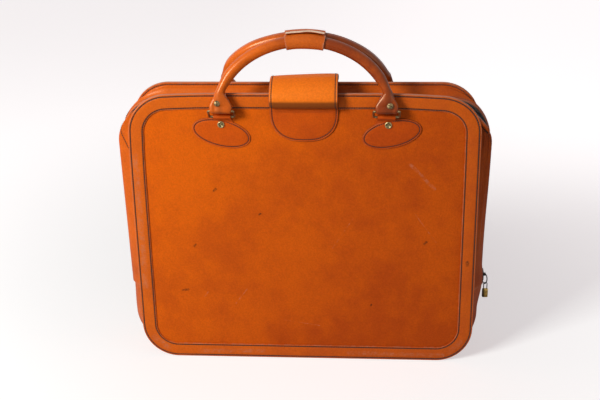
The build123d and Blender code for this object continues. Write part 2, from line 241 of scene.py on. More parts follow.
class Pile:
    """Grids of points in millimetres that become one mesh, with a map in metres and a wear value."""

    def __init__(self):
        self.points, self.faces, self.maps, self.wear, self.dark, self.count = [], [], [], [], [], 0

    def add_points(self, points, wear=0.0, dark=0.0):
        """Points with their wear and their dark, joined to the pile; the first one's number."""
        start = self.count
        self.points.append(points.reshape(-1, 3))
        self.wear.append(np.broadcast_to(wear, points.shape[:-1]).reshape(-1))
        self.dark.append(np.broadcast_to(dark, points.shape[:-1]).reshape(-1))
        self.count += self.points[-1].shape[0]
        return start

    def add_faces(self, faces, flip=False, maps=None):
        """Faces with as many corners each, turned over by flip, and their corners' places on the map."""
        maps = np.zeros(faces.shape + (2,)) if maps is None else maps
        self.faces.append(faces[:, ::-1] if flip else faces)
        self.maps.append(maps[:, ::-1] if flip else maps)

    def grid(self, points, wrap_u=False, wrap_v=False, flip=False, wear=0.0, dark=0.0):
        """Quads between neighbours of a grid; its map runs by length along both directions."""
        nu, nv = points.shape[:2]
        start = self.add_points(points, wear, dark)
        u = run_length(points.mean(axis=1), wrap_u) * MM
        v = run_length(points.mean(axis=0), wrap_v) * MM
        if nv > 2 and v[-1] < 0.5 * MM:
            v = run_length(points[0], wrap_v) * MM
        a, b = pairs(nu if wrap_u else nu - 1, nv if wrap_v else nv - 1)
        corners = [(a, b), (a + 1, b), (a + 1, b + 1), (a, b + 1)]
        faces = np.stack([start + (i % nu) * nv + j % nv for i, j in corners], -1)
        self.add_faces(faces, flip, np.stack([np.stack([u[i], v[j]], -1) for i, j in corners], 1))
        return start

    def fan(self, start, count, centre, flip=False, stride=1):
        """Triangles from a closed row of points to one point in its middle."""
        middle = self.add_points(np.asarray(centre, float)[None])
        i = np.arange(count)
        corners = [start + i * stride, start + (i + 1) % count * stride, np.full(count, middle)]
        self.add_faces(np.stack(corners, -1), flip)

    def prisms(self, rings, flip=False):
        """Closed prisms: rings has many of them, each with rows of points that are joined and capped."""
        many, rows, around = rings.shape[:3]
        base = self.add_points(rings) + np.arange(many)[:, None, None] * (rows * around)
        a, b = pairs(rows - 1, around)
        after = (b + 1) % around
        low, high = a * around, (a + 1) * around
        quads = np.stack([low + b, low + after, high + after, high + b], -1)
        first = np.arange(around)
        for faces in (quads, np.stack([first[::-1], first + (rows - 1) * around])):
            self.add_faces((base + faces[None]).reshape(-1, faces.shape[1]), flip)

    def sheet(self, points, thickness, flip=False, reach=2.5, dark=0.0):
        """Leather: the face given, one a thickness under it, round edges, and wear 0.8 e^(-d / reach)."""
        nu, nv = points.shape[:2]
        under = thickness * normals(points) * (-1.0 if flip else 1.0)
        low, high = (
            points[:, end] - 0.35 * thickness * unit(points[:, near] - points[:, end]) - 0.5 * under[:, end]
            for end, near in ((0, 1), (-1, -2))
        )
        loop = np.concatenate([points, high[:, None], (points - under)[:, ::-1], low[:, None]], axis=1)
        edge = np.minimum(from_edges(points, 1)[None, :], from_edges(points, 0)[:, None])
        wear = np.ones((nu, 2 * nv + 2))
        wear[:, :nv] = np.exp(-edge / reach) * 0.8
        wear[:, nv + 2:2 * nv] = 0.0
        burnt = np.zeros((nu, 2 * nv + 2))
        burnt[:, :nv] = dark
        start = self.grid(loop, False, True, flip, wear, burnt)
        j = np.arange(nv - 1)
        for row, turned in ((0, flip), (nu - 1, not flip)):
            base = start + row * (2 * nv + 2)
            quads = np.stack([base + j, base + j + 1, base + 2 * nv - j - 1, base + 2 * nv - j], -1)
            ends = np.array([[nv - 1, nv, nv + 1], [2 * nv + 1, 0, 2 * nv]]) + base
            self.add_faces(quads, turned)
            self.add_faces(ends, turned)

    def build(self, name, material, body=None, replaces=(), bends=None, sharp=50.0):
        """Writes the mesh in metres, smooth but for edges past sharp degrees, and says what it rides on;
        given bends, it only bakes the mesh in place and rides on nothing.
        """
        mesh = bpy.data.meshes.new(name)
        faces = [row for block in self.faces for row in block.tolist()]
        mesh.from_pydata(np.concatenate(self.points) * MM, [], faces)
        mesh.polygons.foreach_set("use_smooth", np.ones(len(faces), bool))
        layer = mesh.uv_layers.new(name="UVMap")
        layer.data.foreach_set("uv", np.concatenate([m.reshape(-1, 2) for m in self.maps]).ravel())
        for key, values in (("wear", self.wear), ("dark", self.dark)):
            layer = mesh.attributes.new(key, "FLOAT", "POINT")
            layer.data.foreach_set("value", np.concatenate(values).astype(np.float32))
        mesh.set_sharp_from_angle(angle=math.radians(sharp))
        mesh.materials.append(material)
        mesh.update()
        piece = put(name, mesh)
        if bends:
            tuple(bends[2])
            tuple(bends[3])
            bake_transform(piece)
        else:
            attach(piece, body)
        if replaces:
            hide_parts(*replaces)
        return piece


def stitches(pile, centres, along, out, length, width):
    """Thread stitches, a little aslant: six sided beads w wide that arch by 0.45 w (1 - t^2) - 0.12 w."""
    along, out = unit(along), unit(out)
    across = unit(np.cross(out, along))
    along = unit(along + STITCH_SLANT * across)
    across = np.cross(out, along)
    t = np.array([-1.0, -0.7, 0.0, 0.7, 1.0])
    girth = np.array([0.45, 0.95, 1.05, 0.95, 0.45]) * width / 2
    lift = 0.45 * width * (1 - t**2) - 0.12 * width
    turn = full_turn(6)
    pile.prisms(
        centres[:, None, None]
        + (t * length / 2)[None, :, None, None] * along[:, None, None]
        + (girth[:, None] * np.cos(turn))[None, :, :, None] * across[:, None, None]
        + (lift[:, None] + girth[:, None] * 0.8 * np.sin(turn))[None, :, :, None] * out[:, None, None]
    )


def stitch_line(pile, line, out, pitch, length, width, closed=False):
    """Even stitches along a line of points with its outward directions."""
    rows = np.concatenate([line, line[:1]]) if closed else line
    outs = np.concatenate([out, out[:1]]) if closed else out
    total = run_length(rows)[-1]
    count = max(int(round(total / pitch)), 1)
    middle = (np.arange(count) + 0.5) * total / count
    centres = resample(rows, middle)
    ahead = resample(rows, np.clip(middle + 0.6, 0, total)) - resample(rows, np.clip(middle - 0.6, 0, total))
    place = run_length(rows)
    outs = np.stack([np.interp(middle, place, outs[:, k]) for k in range(3)], -1)
    stitches(pile, centres, ahead, outs, length, width)


# Outlines
def arc(x, v, radius, start, end, count):
    """Points of a circular arc between two angles in degrees, without the last one."""
    turn = np.radians(np.linspace(start, end, count, endpoint=False))
    return np.stack([x + radius * np.cos(turn), v + radius * np.sin(turn)], -1)


def line(x0, v0, x1, v1, count):
    """Points of a straight run, without the last one."""
    t = np.linspace(0.0, 1.0, count, endpoint=False)
    return np.stack([x0 + (x1 - x0) * t, v0 + (v1 - v0) * t], -1)


def panel_outline(inset, pitch=1.6):
    """The panel's round cornered outline drawn in by inset, anticlockwise from the middle of its foot."""
    radius = max(CORNER - inset, 2.0)
    half = CASE_WIDTH / 2 - inset - radius
    low, high = inset + radius, PANEL_HEIGHT - inset - radius
    across = int((CASE_WIDTH / 2 - CORNER) / pitch)
    upright = int((PANEL_HEIGHT - 2 * CORNER) / pitch)
    bend = int(CORNER * 1.3 / pitch)
    edge, top, foot = half + radius, PANEL_HEIGHT - inset, inset
    return np.concatenate([
        line(0, foot, half, foot, across), arc(half, low, radius, -90, 0, bend),
        line(edge, low, edge, high, upright), arc(half, high, radius, 0, 90, bend),
        line(half, top, -half, top, 2 * across), arc(-half, high, radius, 90, 180, bend),
        line(-edge, high, -edge, low, upright), arc(-half, low, radius, 180, 270, bend),
        line(-half, foot, 0, foot, across),
    ])


def arch(half, top, radius, low, upright=110):
    """An upside down U: up the right side from low, over the top and down the left side."""
    bend, across = 40, 190
    inner = half - radius
    return np.concatenate([
        line(half, low, half, top - radius, upright), arc(inner, top - radius, radius, 0, 90, bend),
        line(inner, top, -inner, top, across), arc(-inner, top - radius, radius, 90, 180, bend),
        line(-half, top - radius, -half, low, upright), [[-half, low]],
    ])


def cradle(half, foot, radius, high):
    """A U, down the left side from high, along the foot and up the right side: an arch turned upside down."""
    return -arch(half, -foot, radius, -high, upright=34)


def shrunk(outline, count):
    """Outlines between the one given and the panel's middle, shrunk in even steps."""
    for share in np.linspace(1, 0, count)[1:-1]:
        yield PANEL_MIDDLE + (outline - PANEL_MIDDLE) * share


def outward(path):
    """In-plane directions away from a path that goes round anticlockwise."""
    along = unit(np.gradient(path, axis=0))
    return np.stack([along[:, 1], -along[:, 0]], -1)


# Materials
class Net:
    """Short calls that add nodes to a tree and join them."""

    def __init__(self, tree):
        self.tree = tree

    def feed(self, socket, value):
        """A socket's link or its plain value."""
        if isinstance(value, bpy.types.NodeSocket):
            self.tree.links.new(value, socket)
        elif value is not None:
            socket.default_value = value

    def node(self, kind, inputs=None, **settings):
        """A node with its settings and inputs."""
        made = self.tree.nodes.new(kind)
        for key, value in settings.items():
            setattr(made, key, value)
        for key, value in (inputs or {}).items():
            self.feed(made.inputs[key], value)
        return made

    def math(self, operation, a, b=0.0, c=None, clamp=False):
        """One sum of up to three values."""
        made = self.node("ShaderNodeMath", {0: a, 1: b}, operation=operation, use_clamp=clamp)
        self.feed(made.inputs[2], c)
        return made.outputs[0]

    def ramp(self, value, low, high, start=0.0, end=1.0):
        """Smooth map of a value from one range to another."""
        inputs = {"Value": value, "From Min": low, "From Max": high, "To Min": start, "To Max": end}
        return self.node("ShaderNodeMapRange", inputs, interpolation_type="SMOOTHSTEP").outputs["Result"]

    def mix(self, factor, a, b, blend="MIX"):
        """Two colours mixed by a factor."""
        made = self.node("ShaderNodeMix", {0: factor, 6: a, 7: b}, data_type="RGBA", blend_type=blend)
        return made.outputs[2]

    def noise(self, place, scale, detail=3.0, rough=0.55):
        """Soft noise, so many waves to the metre."""
        inputs = {"Vector": place, "Scale": scale, "Detail": detail, "Roughness": rough}
        return self.node("ShaderNodeTexNoise", inputs).outputs["Fac"]

    def cells(self, place, scale):
        """The distance to the nearest of many scattered points."""
        return self.node("ShaderNodeTexVoronoi", {"Vector": place, "Scale": scale}).outputs["Distance"]

    def place(self):
        """The point itself, in metres, in the piece's own frame."""
        return self.node("ShaderNodeTexCoord").outputs["Object"]

    def value(self, name):
        """A value that the mesh carries, such as its wear."""
        return self.node("ShaderNodeAttribute", attribute_name=name).outputs["Fac"]


def group(name, inputs, outputs):
    """A shader node group with named sockets; inputs are (name, kind, default)."""
    tree = bpy.data.node_groups.new(name, "ShaderNodeTree")
    for title, kind, default in inputs:
        socket = tree.interface.new_socket(title, in_out="INPUT", socket_type=kind)
        socket.default_value = default
    for title, kind in outputs:
        tree.interface.new_socket(title, in_out="OUTPUT", socket_type=kind)
    net = Net(tree)
    return net, tree.nodes.new("NodeGroupInput").outputs, tree.nodes.new("NodeGroupOutput").inputs


FLOAT, COLOUR, VECTOR = "NodeSocketFloat", "NodeSocketColor", "NodeSocketVector"

# Colours of the hide: its two tans, what rubbing and cutting bare, spots, and the near black of burnt stitch
# grooves, which also paints shade
TAN_LIGHT, TAN_DEEP = (0.70, 0.118, 0.0035, 1), (0.45, 0.062, 0.005, 1)
RUBBED, PALE_CUT, DARK_CUT = (0.52, 0.19, 0.10, 1), (0.50, 0.20, 0.12, 1), (0.075, 0.02, 0.01, 1)
SPOT, BURNT_AND_SHADE = (0.05, 0.018, 0.006, 1), (0.022, 0.008, 0.004, 1)


def hide_group():
    """Waxed hide: colour between two tans by cloud and by the tone falloff input, which carries painted
    light, fine pores, rubbed edges, grain height.
    """
    net, take, give = group(
        "waxed_hide",
        [("Light", COLOUR, TAN_LIGHT), ("Deep", COLOUR, TAN_DEEP), ("Rubbed", COLOUR, RUBBED),
         ("Cloud", FLOAT, 0.5), ("Tone falloff", FLOAT, 0.5), ("Rub", FLOAT, 0.0)],
        [("Colour", COLOUR), ("Roughness", FLOAT), ("Height", FLOAT)],
    )
    place = net.place()
    wide = net.noise(place, 8.0, 3.0, 0.5)
    patch = net.noise(place, 38.0, 5.0, 0.62)
    fine = net.noise(place, 420.0, 3.0, 0.6)
    cloud = net.math("MULTIPLY_ADD", wide, 0.5, net.math("MULTIPLY", patch, 0.5))
    shift = net.math("MULTIPLY", net.math("SUBTRACT", net.ramp(cloud, 0.36, 0.66), 0.5), take["Cloud"])
    depth = net.math("ADD", take["Tone falloff"], shift, clamp=True)
    colour = net.mix(depth, take["Light"], take["Deep"])
    pore = net.cells(place, 1150.0)
    dots = net.ramp(pore, 0.04, 0.3, 0.82, 1.0)
    speck = net.ramp(fine, 0.3, 0.72, 0.9, 1.06)
    shade = net.math("MULTIPLY", dots, speck)
    tone = net.node("ShaderNodeCombineColor", {0: shade, 1: shade, 2: shade}).outputs[0]
    colour = net.mix(1.0, colour, tone, "MULTIPLY")
    broken = net.ramp(net.noise(place, 130.0, 4.0, 0.7), 0.42, 0.62, 0.15, 1.0)
    rub = net.math("MULTIPLY", take["Rub"], broken, clamp=True)
    net.feed(give["Colour"], net.mix(rub, colour, take["Rubbed"]))
    gloss = net.ramp(patch, 0.3, 0.7, 0.34, 0.5)
    net.feed(give["Roughness"], net.math("MULTIPLY_ADD", rub, 0.18, gloss, clamp=True))
    creases = net.ramp(net.cells(place, 620.0), 0.0, 0.75)
    height = net.math("MULTIPLY_ADD", creases, 0.55, net.math("MULTIPLY", fine, 0.45))
    net.feed(give["Height"], height)
    return net.tree


def scratch_group():
    """A mark along a short line: 1 within a width of the segment between two points, broken by noise."""
    ends = [("From", VECTOR, (0, 0, 0)), ("To", VECTOR, (0, 0, 0))]
    net, take, give = group("scratch", [*ends, ("Width", FLOAT, 0.0005)], [("Mask", FLOAT)])

    def vector(operation, a, b):
        """A difference or a product of two places."""
        made = net.node("ShaderNodeVectorMath", {0: a, 1: b}, operation=operation)
        return made.outputs["Vector" if operation == "SUBTRACT" else "Value"]

    place = net.place()
    reach = vector("SUBTRACT", take["To"], take["From"])
    aside = vector("SUBTRACT", place, take["From"])
    along, whole = vector("DOT_PRODUCT", aside, reach), vector("DOT_PRODUCT", reach, reach)
    share = net.math("DIVIDE", along, whole, clamp=True)
    scaled = net.node("ShaderNodeVectorMath", {0: reach, "Scale": share}, operation="SCALE").outputs["Vector"]
    gap = vector("DISTANCE", aside, scaled)
    wander = net.math("MULTIPLY_ADD", net.noise(place, 160.0, 2.0), 0.003, -0.0015)
    gap = net.math("ABSOLUTE", net.math("ADD", gap, wander))
    near = net.math("SUBTRACT", 1.0, net.ramp(net.math("DIVIDE", gap, take["Width"]), 0.3, 1.0))
    broken = net.ramp(net.noise(place, 500.0, 3.0, 0.7), 0.35, 0.6, 0.25, 1.0)
    net.feed(give["Mask"], net.math("MULTIPLY", near, broken, clamp=True))
    return net.tree


HIDE = hide_group()
SCRATCH = scratch_group()


def new_material(name):
    """An empty material with its Principled shader."""
    made = bpy.data.materials.new(name)
    made.use_nodes = True
    return made, Net(made.node_tree), made.node_tree.nodes["Principled BSDF"]


def bump(net, shader, height, distance):
    """A height from 0 to 1 times a distance in metres, turned into the shader's normal."""
    made = net.node("ShaderNodeBump", {"Height": height, "Distance": distance})
    net.feed(shader.inputs["Normal"], made.outputs["Normal"])


def tone_and_painted_falloff(net, across=1.2, start=0.68, full=0.8):
    """0 at the case's upper left, full at its lower right: a smooth step of start + across x - 0.9 z. It
    paints a falloff of light towards the lower right, which is in part the hide's own tone.
    """
    split = net.node("ShaderNodeSeparateXYZ", {0: net.place()})
    down = net.math("MULTIPLY_ADD", split.outputs[2], -0.9, start)
    return net.ramp(net.math("MULTIPLY_ADD", split.outputs[0], across, down), 0.05, 0.75, 0.0, full)


def face_point(x, v):
    """A place on the front panel's face, in metres."""
    return tuple(panel(FRONT, x, v, 0.8) * MM)


def scratches(net, rows):
    """Masks of marks on the front: x and v where each starts, x and v where it ends, and its width."""
    for x0, v0, x1, v1, width in rows:
        inputs = {"From": face_point(x0, v0), "To": face_point(x1, v1), "Width": width * MM}
        yield net.node("ShaderNodeGroup", inputs, node_tree=SCRATCH).outputs["Mask"]


def leather(name, light, deep, rubbed=RUBBED, cut=PALE_CUT, cloud=0.5, grain=0.00025, rough=(0.40, 0.55),
            shine=0.16, coat=0.0, pale=(), spots=(), falloff_shape=()):
    """Waxed leather: two tans mixed by cloud and by a painted falloff of light over the case that is in part
    the hide's own tone, rubbed and cut edges, marks, and near black for burnt stitch grooves and painted
    shade.
    """
    made, net, shader = new_material(name)
    worn = net.value("wear")
    rub = net.ramp(worn, 0.15, 0.85, 0.0, 0.75)
    for mask in scratches(net, pale):
        rub = net.math("ADD", rub, net.math("MULTIPLY", mask, 0.55), clamp=True)
    tone_and_falloff = tone_and_painted_falloff(net, *falloff_shape)
    inputs = {"Light": light, "Deep": deep, "Rubbed": rubbed, "Cloud": cloud, "Tone falloff": tone_and_falloff, "Rub": rub}
    hide = net.node("ShaderNodeGroup", inputs, node_tree=HIDE).outputs
    colour = hide["Colour"]
    for mask in scratches(net, spots):
        colour = net.mix(net.math("MULTIPLY", mask, 0.8), colour, SPOT)
    colour = net.mix(net.ramp(worn, 0.86, 0.97), colour, cut)
    # The dark value mixes in near black: burnt stitch grooves, and painted shade on the strap's nose, the
    # ring necks and the handle feet.
    colour = net.mix(net.math("MULTIPLY", net.value("dark"), 0.9), colour, BURNT_AND_SHADE)
    net.feed(shader.inputs["Base Color"], colour)
    net.feed(shader.inputs["Roughness"], net.ramp(hide["Roughness"], 0.3, 0.6, *rough))
    shader.inputs["Specular IOR Level"].default_value = shine
    shader.inputs["Specular Tint"].default_value = (1.0, 0.6, 0.3, 1)
    shader.inputs["Coat Weight"].default_value = coat
    shader.inputs["Coat Roughness"].default_value = 0.2
    bump(net, shader, hide["Height"], grain)
    return made


def paint(name, low, high, scale, metal=0.0, rough=(0.3, 0.5), height=0.0001, grime_and_shade=None):
    """Metal or plain finish: colour between two values by noise, grime in it, and the dark value as grime in
    hollows and as painted shade, fine height.
    """
    made, net, shader = new_material(name)
    place = net.place()
    cloud = net.noise(place, scale, 4.0, 0.6)
    colour = net.mix(net.ramp(cloud, 0.35, 0.65), low, high)
    if grime_and_shade:
        spots = net.ramp(net.noise(place, scale * 2.2, 5.0, 0.6), 0.52, 0.74, 0.0, 0.75)
        colour = net.mix(net.math("MAXIMUM", spots, net.value("dark")), colour, grime_and_shade)
    net.feed(shader.inputs["Base Color"], colour)
    net.feed(shader.inputs["Roughness"], net.ramp(cloud, 0.3, 0.7, *rough))
    shader.inputs["Metallic"].default_value = metal
    bump(net, shader, net.noise(place, scale * 12, 3.0), height)
    return made


def woven(name, low, high, count, sheen=0.25):
    """Plain weave on the piece's own map: two crossed waves, one thread over the other by turns."""
    made, net, shader = new_material(name)
    place = net.node("ShaderNodeUVMap", uv_map="UVMap").outputs["UV"]
    split = net.node("ShaderNodeSeparateXYZ", {0: place})
    warp, weft = (net.math("SINE", net.math("MULTIPLY", split.outputs[k], count * math.tau)) for k in (0, 1))
    cloth = net.ramp(net.math("MULTIPLY", warp, weft), -0.7, 0.7)
    fuzz = net.noise(net.place(), 90.0, 4.0, 0.6)
    tone = net.math("MULTIPLY_ADD", fuzz, 0.5, net.math("MULTIPLY", cloth, 0.5))
    net.feed(shader.inputs["Base Color"], net.mix(tone, low, high))
    shader.inputs["Roughness"].default_value = 0.85
    shader.inputs["Sheen Weight"].default_value = sheen
    bump(net, shader, cloth, 0.0003)
    return made


FACE_LEATHER = leather(
    "face_leather", TAN_LIGHT, TAN_DEEP, cloud=0.55,
    pale=[(140, 290, 172, 256, 3.0), (148, 220, 176, 180, 0.7), (-96, 85, -80, 107, 1.0),
          (-140, 94, -134, 102, 1.2), (38, 170, 66, 214, 0.6), (-30, 60, 20, 52, 0.6)],
    spots=[(-119, 252, -117, 254, 2.6), (-170, 104, -162, 105, 2.2), (-150, 170, -148, 173, 2.0),
           (161, 178, 163, 180, 2.8), (-60, 218, -58, 219, 1.8), (90, 84, 91, 86, 1.6)],
)
BAND_LEATHER = leather(
    "band_leather", (0.68, 0.125, 0.006, 1), (0.54, 0.088, 0.008, 1), cloud=0.7, rough=(0.34, 0.48),
    shine=0.3, coat=0.05, spots=[(219, 148, 219, 152, 3.5)],
    pale=[(-221, 110, -222, 300, 6.0), (-150, 9, -60, 11, 4.5), (60, 10, 190, 9, 4.5),
          (-214, 30, -196, 14, 6.0), (214, 30, 200, 14, 6.0), (-190, 374, -70, 378, 1.2)],
)
GUSSET_LEATHER = leather(
    "gusset_leather", (0.66, 0.115, 0.004, 1), (0.40, 0.055, 0.004, 1), cloud=0.6, rough=(0.32, 0.46),
    shine=0.35, coat=0.1,
)
STRAP_LEATHER = leather(
    "strap_leather", (0.90, 0.20, 0.012, 1), (0.80, 0.155, 0.012, 1), cut=DARK_CUT, cloud=0.4, grain=0.0001,
    rough=(0.44, 0.6), shine=0.3,
)
PATCH_LEATHER = leather(
    "patch_leather", (0.62, 0.09, 0.003, 1), (0.42, 0.05, 0.004, 1), cut=DARK_CUT, rough=(0.36, 0.5),
    shine=0.3,
)
# The handles' very dark deep tan and their steep falloff to the right paint shade on their right halves.
HANDLE_LEATHER = leather(
    "handle_leather", (0.68, 0.12, 0.004, 1), (0.24, 0.03, 0.002, 1), rubbed=(0.50, 0.2, 0.1, 1),
    cut=(0.42, 0.3, 0.22, 1), cloud=0.6, grain=0.00002, rough=(0.27, 0.35), shine=0.45, coat=0.15,
    falloff_shape=(3.6, 0.86, 1.0),
)
KEEPER_LEATHER = leather(
    "keeper_leather", (0.62, 0.125, 0.01, 1), (0.46, 0.07, 0.006, 1), cut=(0.72, 0.56, 0.42, 1), cloud=0.6,
    grain=0.0001, rough=(0.34, 0.46), shine=0.4, coat=0.1,
)
THREAD = paint("waxed_thread", (0.010, 0.005, 0.004, 1), (0.035, 0.014, 0.009, 1), 900.0, rough=(0.5, 0.7))
BRASS = paint(
    "aged_brass", (0.30, 0.23, 0.095, 1), (0.56, 0.45, 0.22, 1), 240.0, metal=1.0, rough=(0.26, 0.45),
    grime_and_shade=(0.045, 0.04, 0.02, 1),
)
DULL_BRASS = paint(
    "dull_brass", (0.18, 0.12, 0.055, 1), (0.36, 0.27, 0.13, 1), 180.0, metal=1.0, rough=(0.34, 0.5),
    grime_and_shade=(0.04, 0.03, 0.018, 1),
)
LOCK_BRASS = paint(
    "lock_brass", (0.42, 0.27, 0.07, 1), (0.52, 0.35, 0.10, 1), 160.0, metal=1.0, rough=(0.34, 0.45),
    height=0.00002, grime_and_shade=(0.03, 0.02, 0.01, 1),
)
DARK_STEEL = paint(
    "dark_steel", (0.03, 0.026, 0.03, 1), (0.08, 0.07, 0.075, 1), 500.0, metal=0.8, rough=(0.25, 0.4)
)
STEEL = paint("plain_steel", (0.22, 0.22, 0.22, 1), (0.42, 0.42, 0.4, 1), 400.0, metal=1.0)
ZIP_METAL = paint("black_zip_metal", (0.008, 0.008, 0.008, 1), (0.035, 0.033, 0.03, 1), 300.0, metal=0.4)
BOARD = paint("pressed_board", (0.36, 0.29, 0.2, 1), (0.5, 0.42, 0.3, 1), 120.0, rough=(0.8, 0.95))
LINING = woven("lining_cloth", (0.006, 0.006, 0.007, 1), (0.03, 0.029, 0.032, 1), 900.0)
TAPE = woven("zip_tape_cloth", (0.003, 0.003, 0.003, 1), (0.010, 0.0095, 0.0095, 1), 1300.0, sheen=0.04)


# Panels
def swell(x, v):
    """How far a panel's face stands out: a flat pillow with slow waves, in millimetres."""
    pillow = 1.0 * (1 - np.abs(x / 212) ** 5) * (1 - np.abs((v - 192) / 174) ** 5)
    wave = 0.16 * np.sin(x / 43 + 0.6) * np.sin(v / 37 + 1.1) + 0.10 * np.sin(x / 21 + v / 29)
    return np.maximum(pillow, 0) * (1 + wave)


def panel_skin(side):
    """The panel's leather: rings drawn in from its cut edge, then rings that shrink to its middle."""
    rim = [(3.0, -LEATHER, 0.0), (0.9, -LEATHER, 0.0), (0.35, -1.8, 0.95), (0.15, -1.4, 0.95),
           (0.15, -0.5, 0.95), (0.4, -0.12, 0.95), (1.0, 0.0, 0.25)]
    rings = [panel(side, *panel_outline(inset).T, n) for inset, n, worn in rim]
    wear = [worn for inset, n, worn in rim]
    for inset in (8.0, 15.0, 19.6, 20.4, 20.8, 21.4, 22.4, 24.0, 27.0, 31.0, 36.0, 42.0):
        x, v = panel_outline(inset).T
        groove = 0.25 * bell(inset, BAND_EDGE + 0.1, 0.8)
        rings.append(panel(side, x, v, swell(x, v) * step(inset, BAND_EDGE, 30.0) - groove))
        wear.append(0.5 * math.exp(-abs(inset - BAND_EDGE - 0.3) / 0.9))
    for outline in shrunk(panel_outline(inset), 26):
        rings.append(panel(side, *outline.T, swell(*outline.T)))
        wear.append(0.0)
    points = np.stack(rings, 1)
    count, depth = points.shape[:2]
    flip = side > 0
    pile = Pile()
    start = pile.grid(points, wrap_u=True, flip=flip, wear=np.array(wear)[None, :])
    middle = panel(side, *PANEL_MIDDLE, swell(*PANEL_MIDDLE))
    pile.fan(start + depth - 1, count, middle, flip=flip, stride=depth)
    pile.fan(start, count, panel(side, *PANEL_MIDDLE, -LEATHER), flip=not flip, stride=depth)
    word = WORD[side]
    pile.build(f"{word}_panel_skin", FACE_LEATHER, SHELL[side], [f"{word}_panel_leather"])


def panel_band(side):
    """The border band: a leather strip with sunk, burnt stitch lines, puckered at each stitch."""
    top = np.arange(19.8, 1.2, -0.4)
    crown = 0.45 * (1 - ((top - 10.8) / 9.4) ** 2)
    sink = 0.5 * bell(top, INNER_ROW, 0.8) + 0.5 * bell(top, OUTER_ROW, 0.8)
    insets = np.concatenate([[20.3, BAND_EDGE, 20.45, 20.2], top, [0.95, 0.6, 0.45, 0.5, 0.9]])
    face = BAND - 0.15 + crown - sink
    raised = np.concatenate([[0.02, 0.25, 0.9, 1.35], face, [1.42, 1.2, 0.8, 0.25, 0.02]])
    length = run_length(panel_outline(OUTER_ROW), True)[:-1]
    rings = []
    for inset, n in zip(insets, raised):
        near = min(abs(inset - INNER_ROW - 0.6), abs(inset - OUTER_ROW + 0.6))
        pucker = 0.16 * np.cos(length * math.tau / STITCH_PITCH) * math.exp(-near)
        slow = 0.14 * np.sin(length / 31 + inset / 9)
        rings.append(panel(side, *panel_outline(inset).T, n + (pucker + slow) * (n > 1.2) + 0.02))
    wear = np.clip(np.exp(-np.minimum(insets - 0.45, BAND_EDGE - insets)), 0, 0.8)
    wear[-4:-1] = 0.95
    burnt = bell(insets, INNER_ROW, 0.75) + bell(insets, OUTER_ROW, 0.7)
    burnt[:4], burnt[-5:] = 0, 0
    pile = Pile()
    pile.grid(np.stack(rings, 1), True, True, side < 0, wear[None, :], burnt[None, :])
    pile.build(f"{WORD[side]}_border_band", BAND_LEATHER, SHELL[side], [f"{WORD[side]}_band"])


def panel_out(side, count):
    """The panel's outward direction, once for each point."""
    return np.tile([[0.0, side * math.cos(LEAN), math.sin(LEAN)]], (count, 1))


def panel_stitches(side):
    """Both stitch rows of the border band, with longer stitches in the outer one."""
    for word, inset, length in (("outer", OUTER_ROW, 3.0), ("inner", INNER_ROW, 2.6)):
        pile = Pile()
        row = panel(side, *panel_outline(inset).T, BAND - 0.25)
        stitch_line(pile, row, panel_out(side, len(row)), STITCH_PITCH, length, width=1.3, closed=True)
        pile.build(f"{WORD[side]}_{word}_stitches", THREAD, SHELL[side])


for side in (FRONT, REAR):
    panel_skin(side)
    panel_band(side)
    panel_stitches(side)


# Gussets
def seam_frame(side, path, inset, n):
    """Points of the panel drawn in from a path by inset at height n, with the outward directions there."""
    out = outward(path)
    points = panel(side, *(path - out * inset).T, n)
    ahead = panel(side, *(path - out * inset + out).T, n)
    return points, unit(ahead - points + 1e-12)


# The zip's line: its height over the top, its reach at the sides, its corners, and where its seams end
MOUTH_TOP = FOOT + PANEL_HEIGHT * math.cos(LEAN) - DROOP
MOUTH_WIDE = CASE_WIDTH / 2 + BULGE
MOUTH_CORNER = GUSSET_CORNER + 6.0
SEAM_END = (ZIP_END - FOOT) / math.cos(LEAN)

# A half gusset's rows: those of its flange, the flange's sewn one and the one beside the zip
FLANGE_ROWS = 6
SEWN_ROW = 3
ZIP_ROW = FLANGE_ROWS + 25

# The dart at the left: how far down from the mouth it runs, and its places across the gusset
DART_TOP, DART_FOOT = 24.0, 92.0
DART_DEPTHS = [10, 30, 50, 75, 92]
DART_PLACES = [0.86, 0.82, 0.57, 0.33, 0.08]


def side_bulge(x, z):
    """How far the gusset's ridge stands out past the line from seam to zip: more on the left side."""
    heights = [8, 40, 70, 105, 200, 310, 345]
    left = np.interp(z, heights, [0.0, 4.5, 6.0, 6.0, 6.5, 7.0, 5.0])
    right = np.interp(z, heights, [0.0, 1.0, 1.5, 1.5, 2.0, 5.0, 4.0])
    return step(np.abs(x), 200.0, 238.0) * np.where(x < 0, left, right)


def corner_pull(path):
    """How the zip opens at a corner: t = |sin 2a| of the edge's angle a, 1.25 t^2 right, 0.4 t left."""
    along = unit(np.gradient(path, axis=0))
    turn = np.clip(2 * np.abs(along[:, 0] * along[:, 1]), 0, 1)
    return np.where(path[:, 0] > 0, 1.25 * turn**2, 0.4 * turn)


def zip_line(side, path, reach, lower=0.0, open_out=1.0):
    """The edge beside the zip: reach from the middle, opened at both corners, tucked in low at the right."""
    pull = corner_pull(path) * open_out
    tuck = np.where(path[:, 0] > 0, 2.0 * step(path[:, 1], 112, 135) * (1 - step(path[:, 1], 150, 290)), 0.0)
    out, down = (10.0, 6.0) if side < 0 else (3.5, 0.0)
    x = path[:, 0] - tuck + SHIFT
    return np.stack([x, side * (reach + out * pull), path[:, 1] - lower - down * pull], -1)


def shut(path):
    """1 where the open zip's two sides lie together down the case's sides, 0 over its top."""
    return step(MOUTH_TOP - path[:, 1], 35, 95)


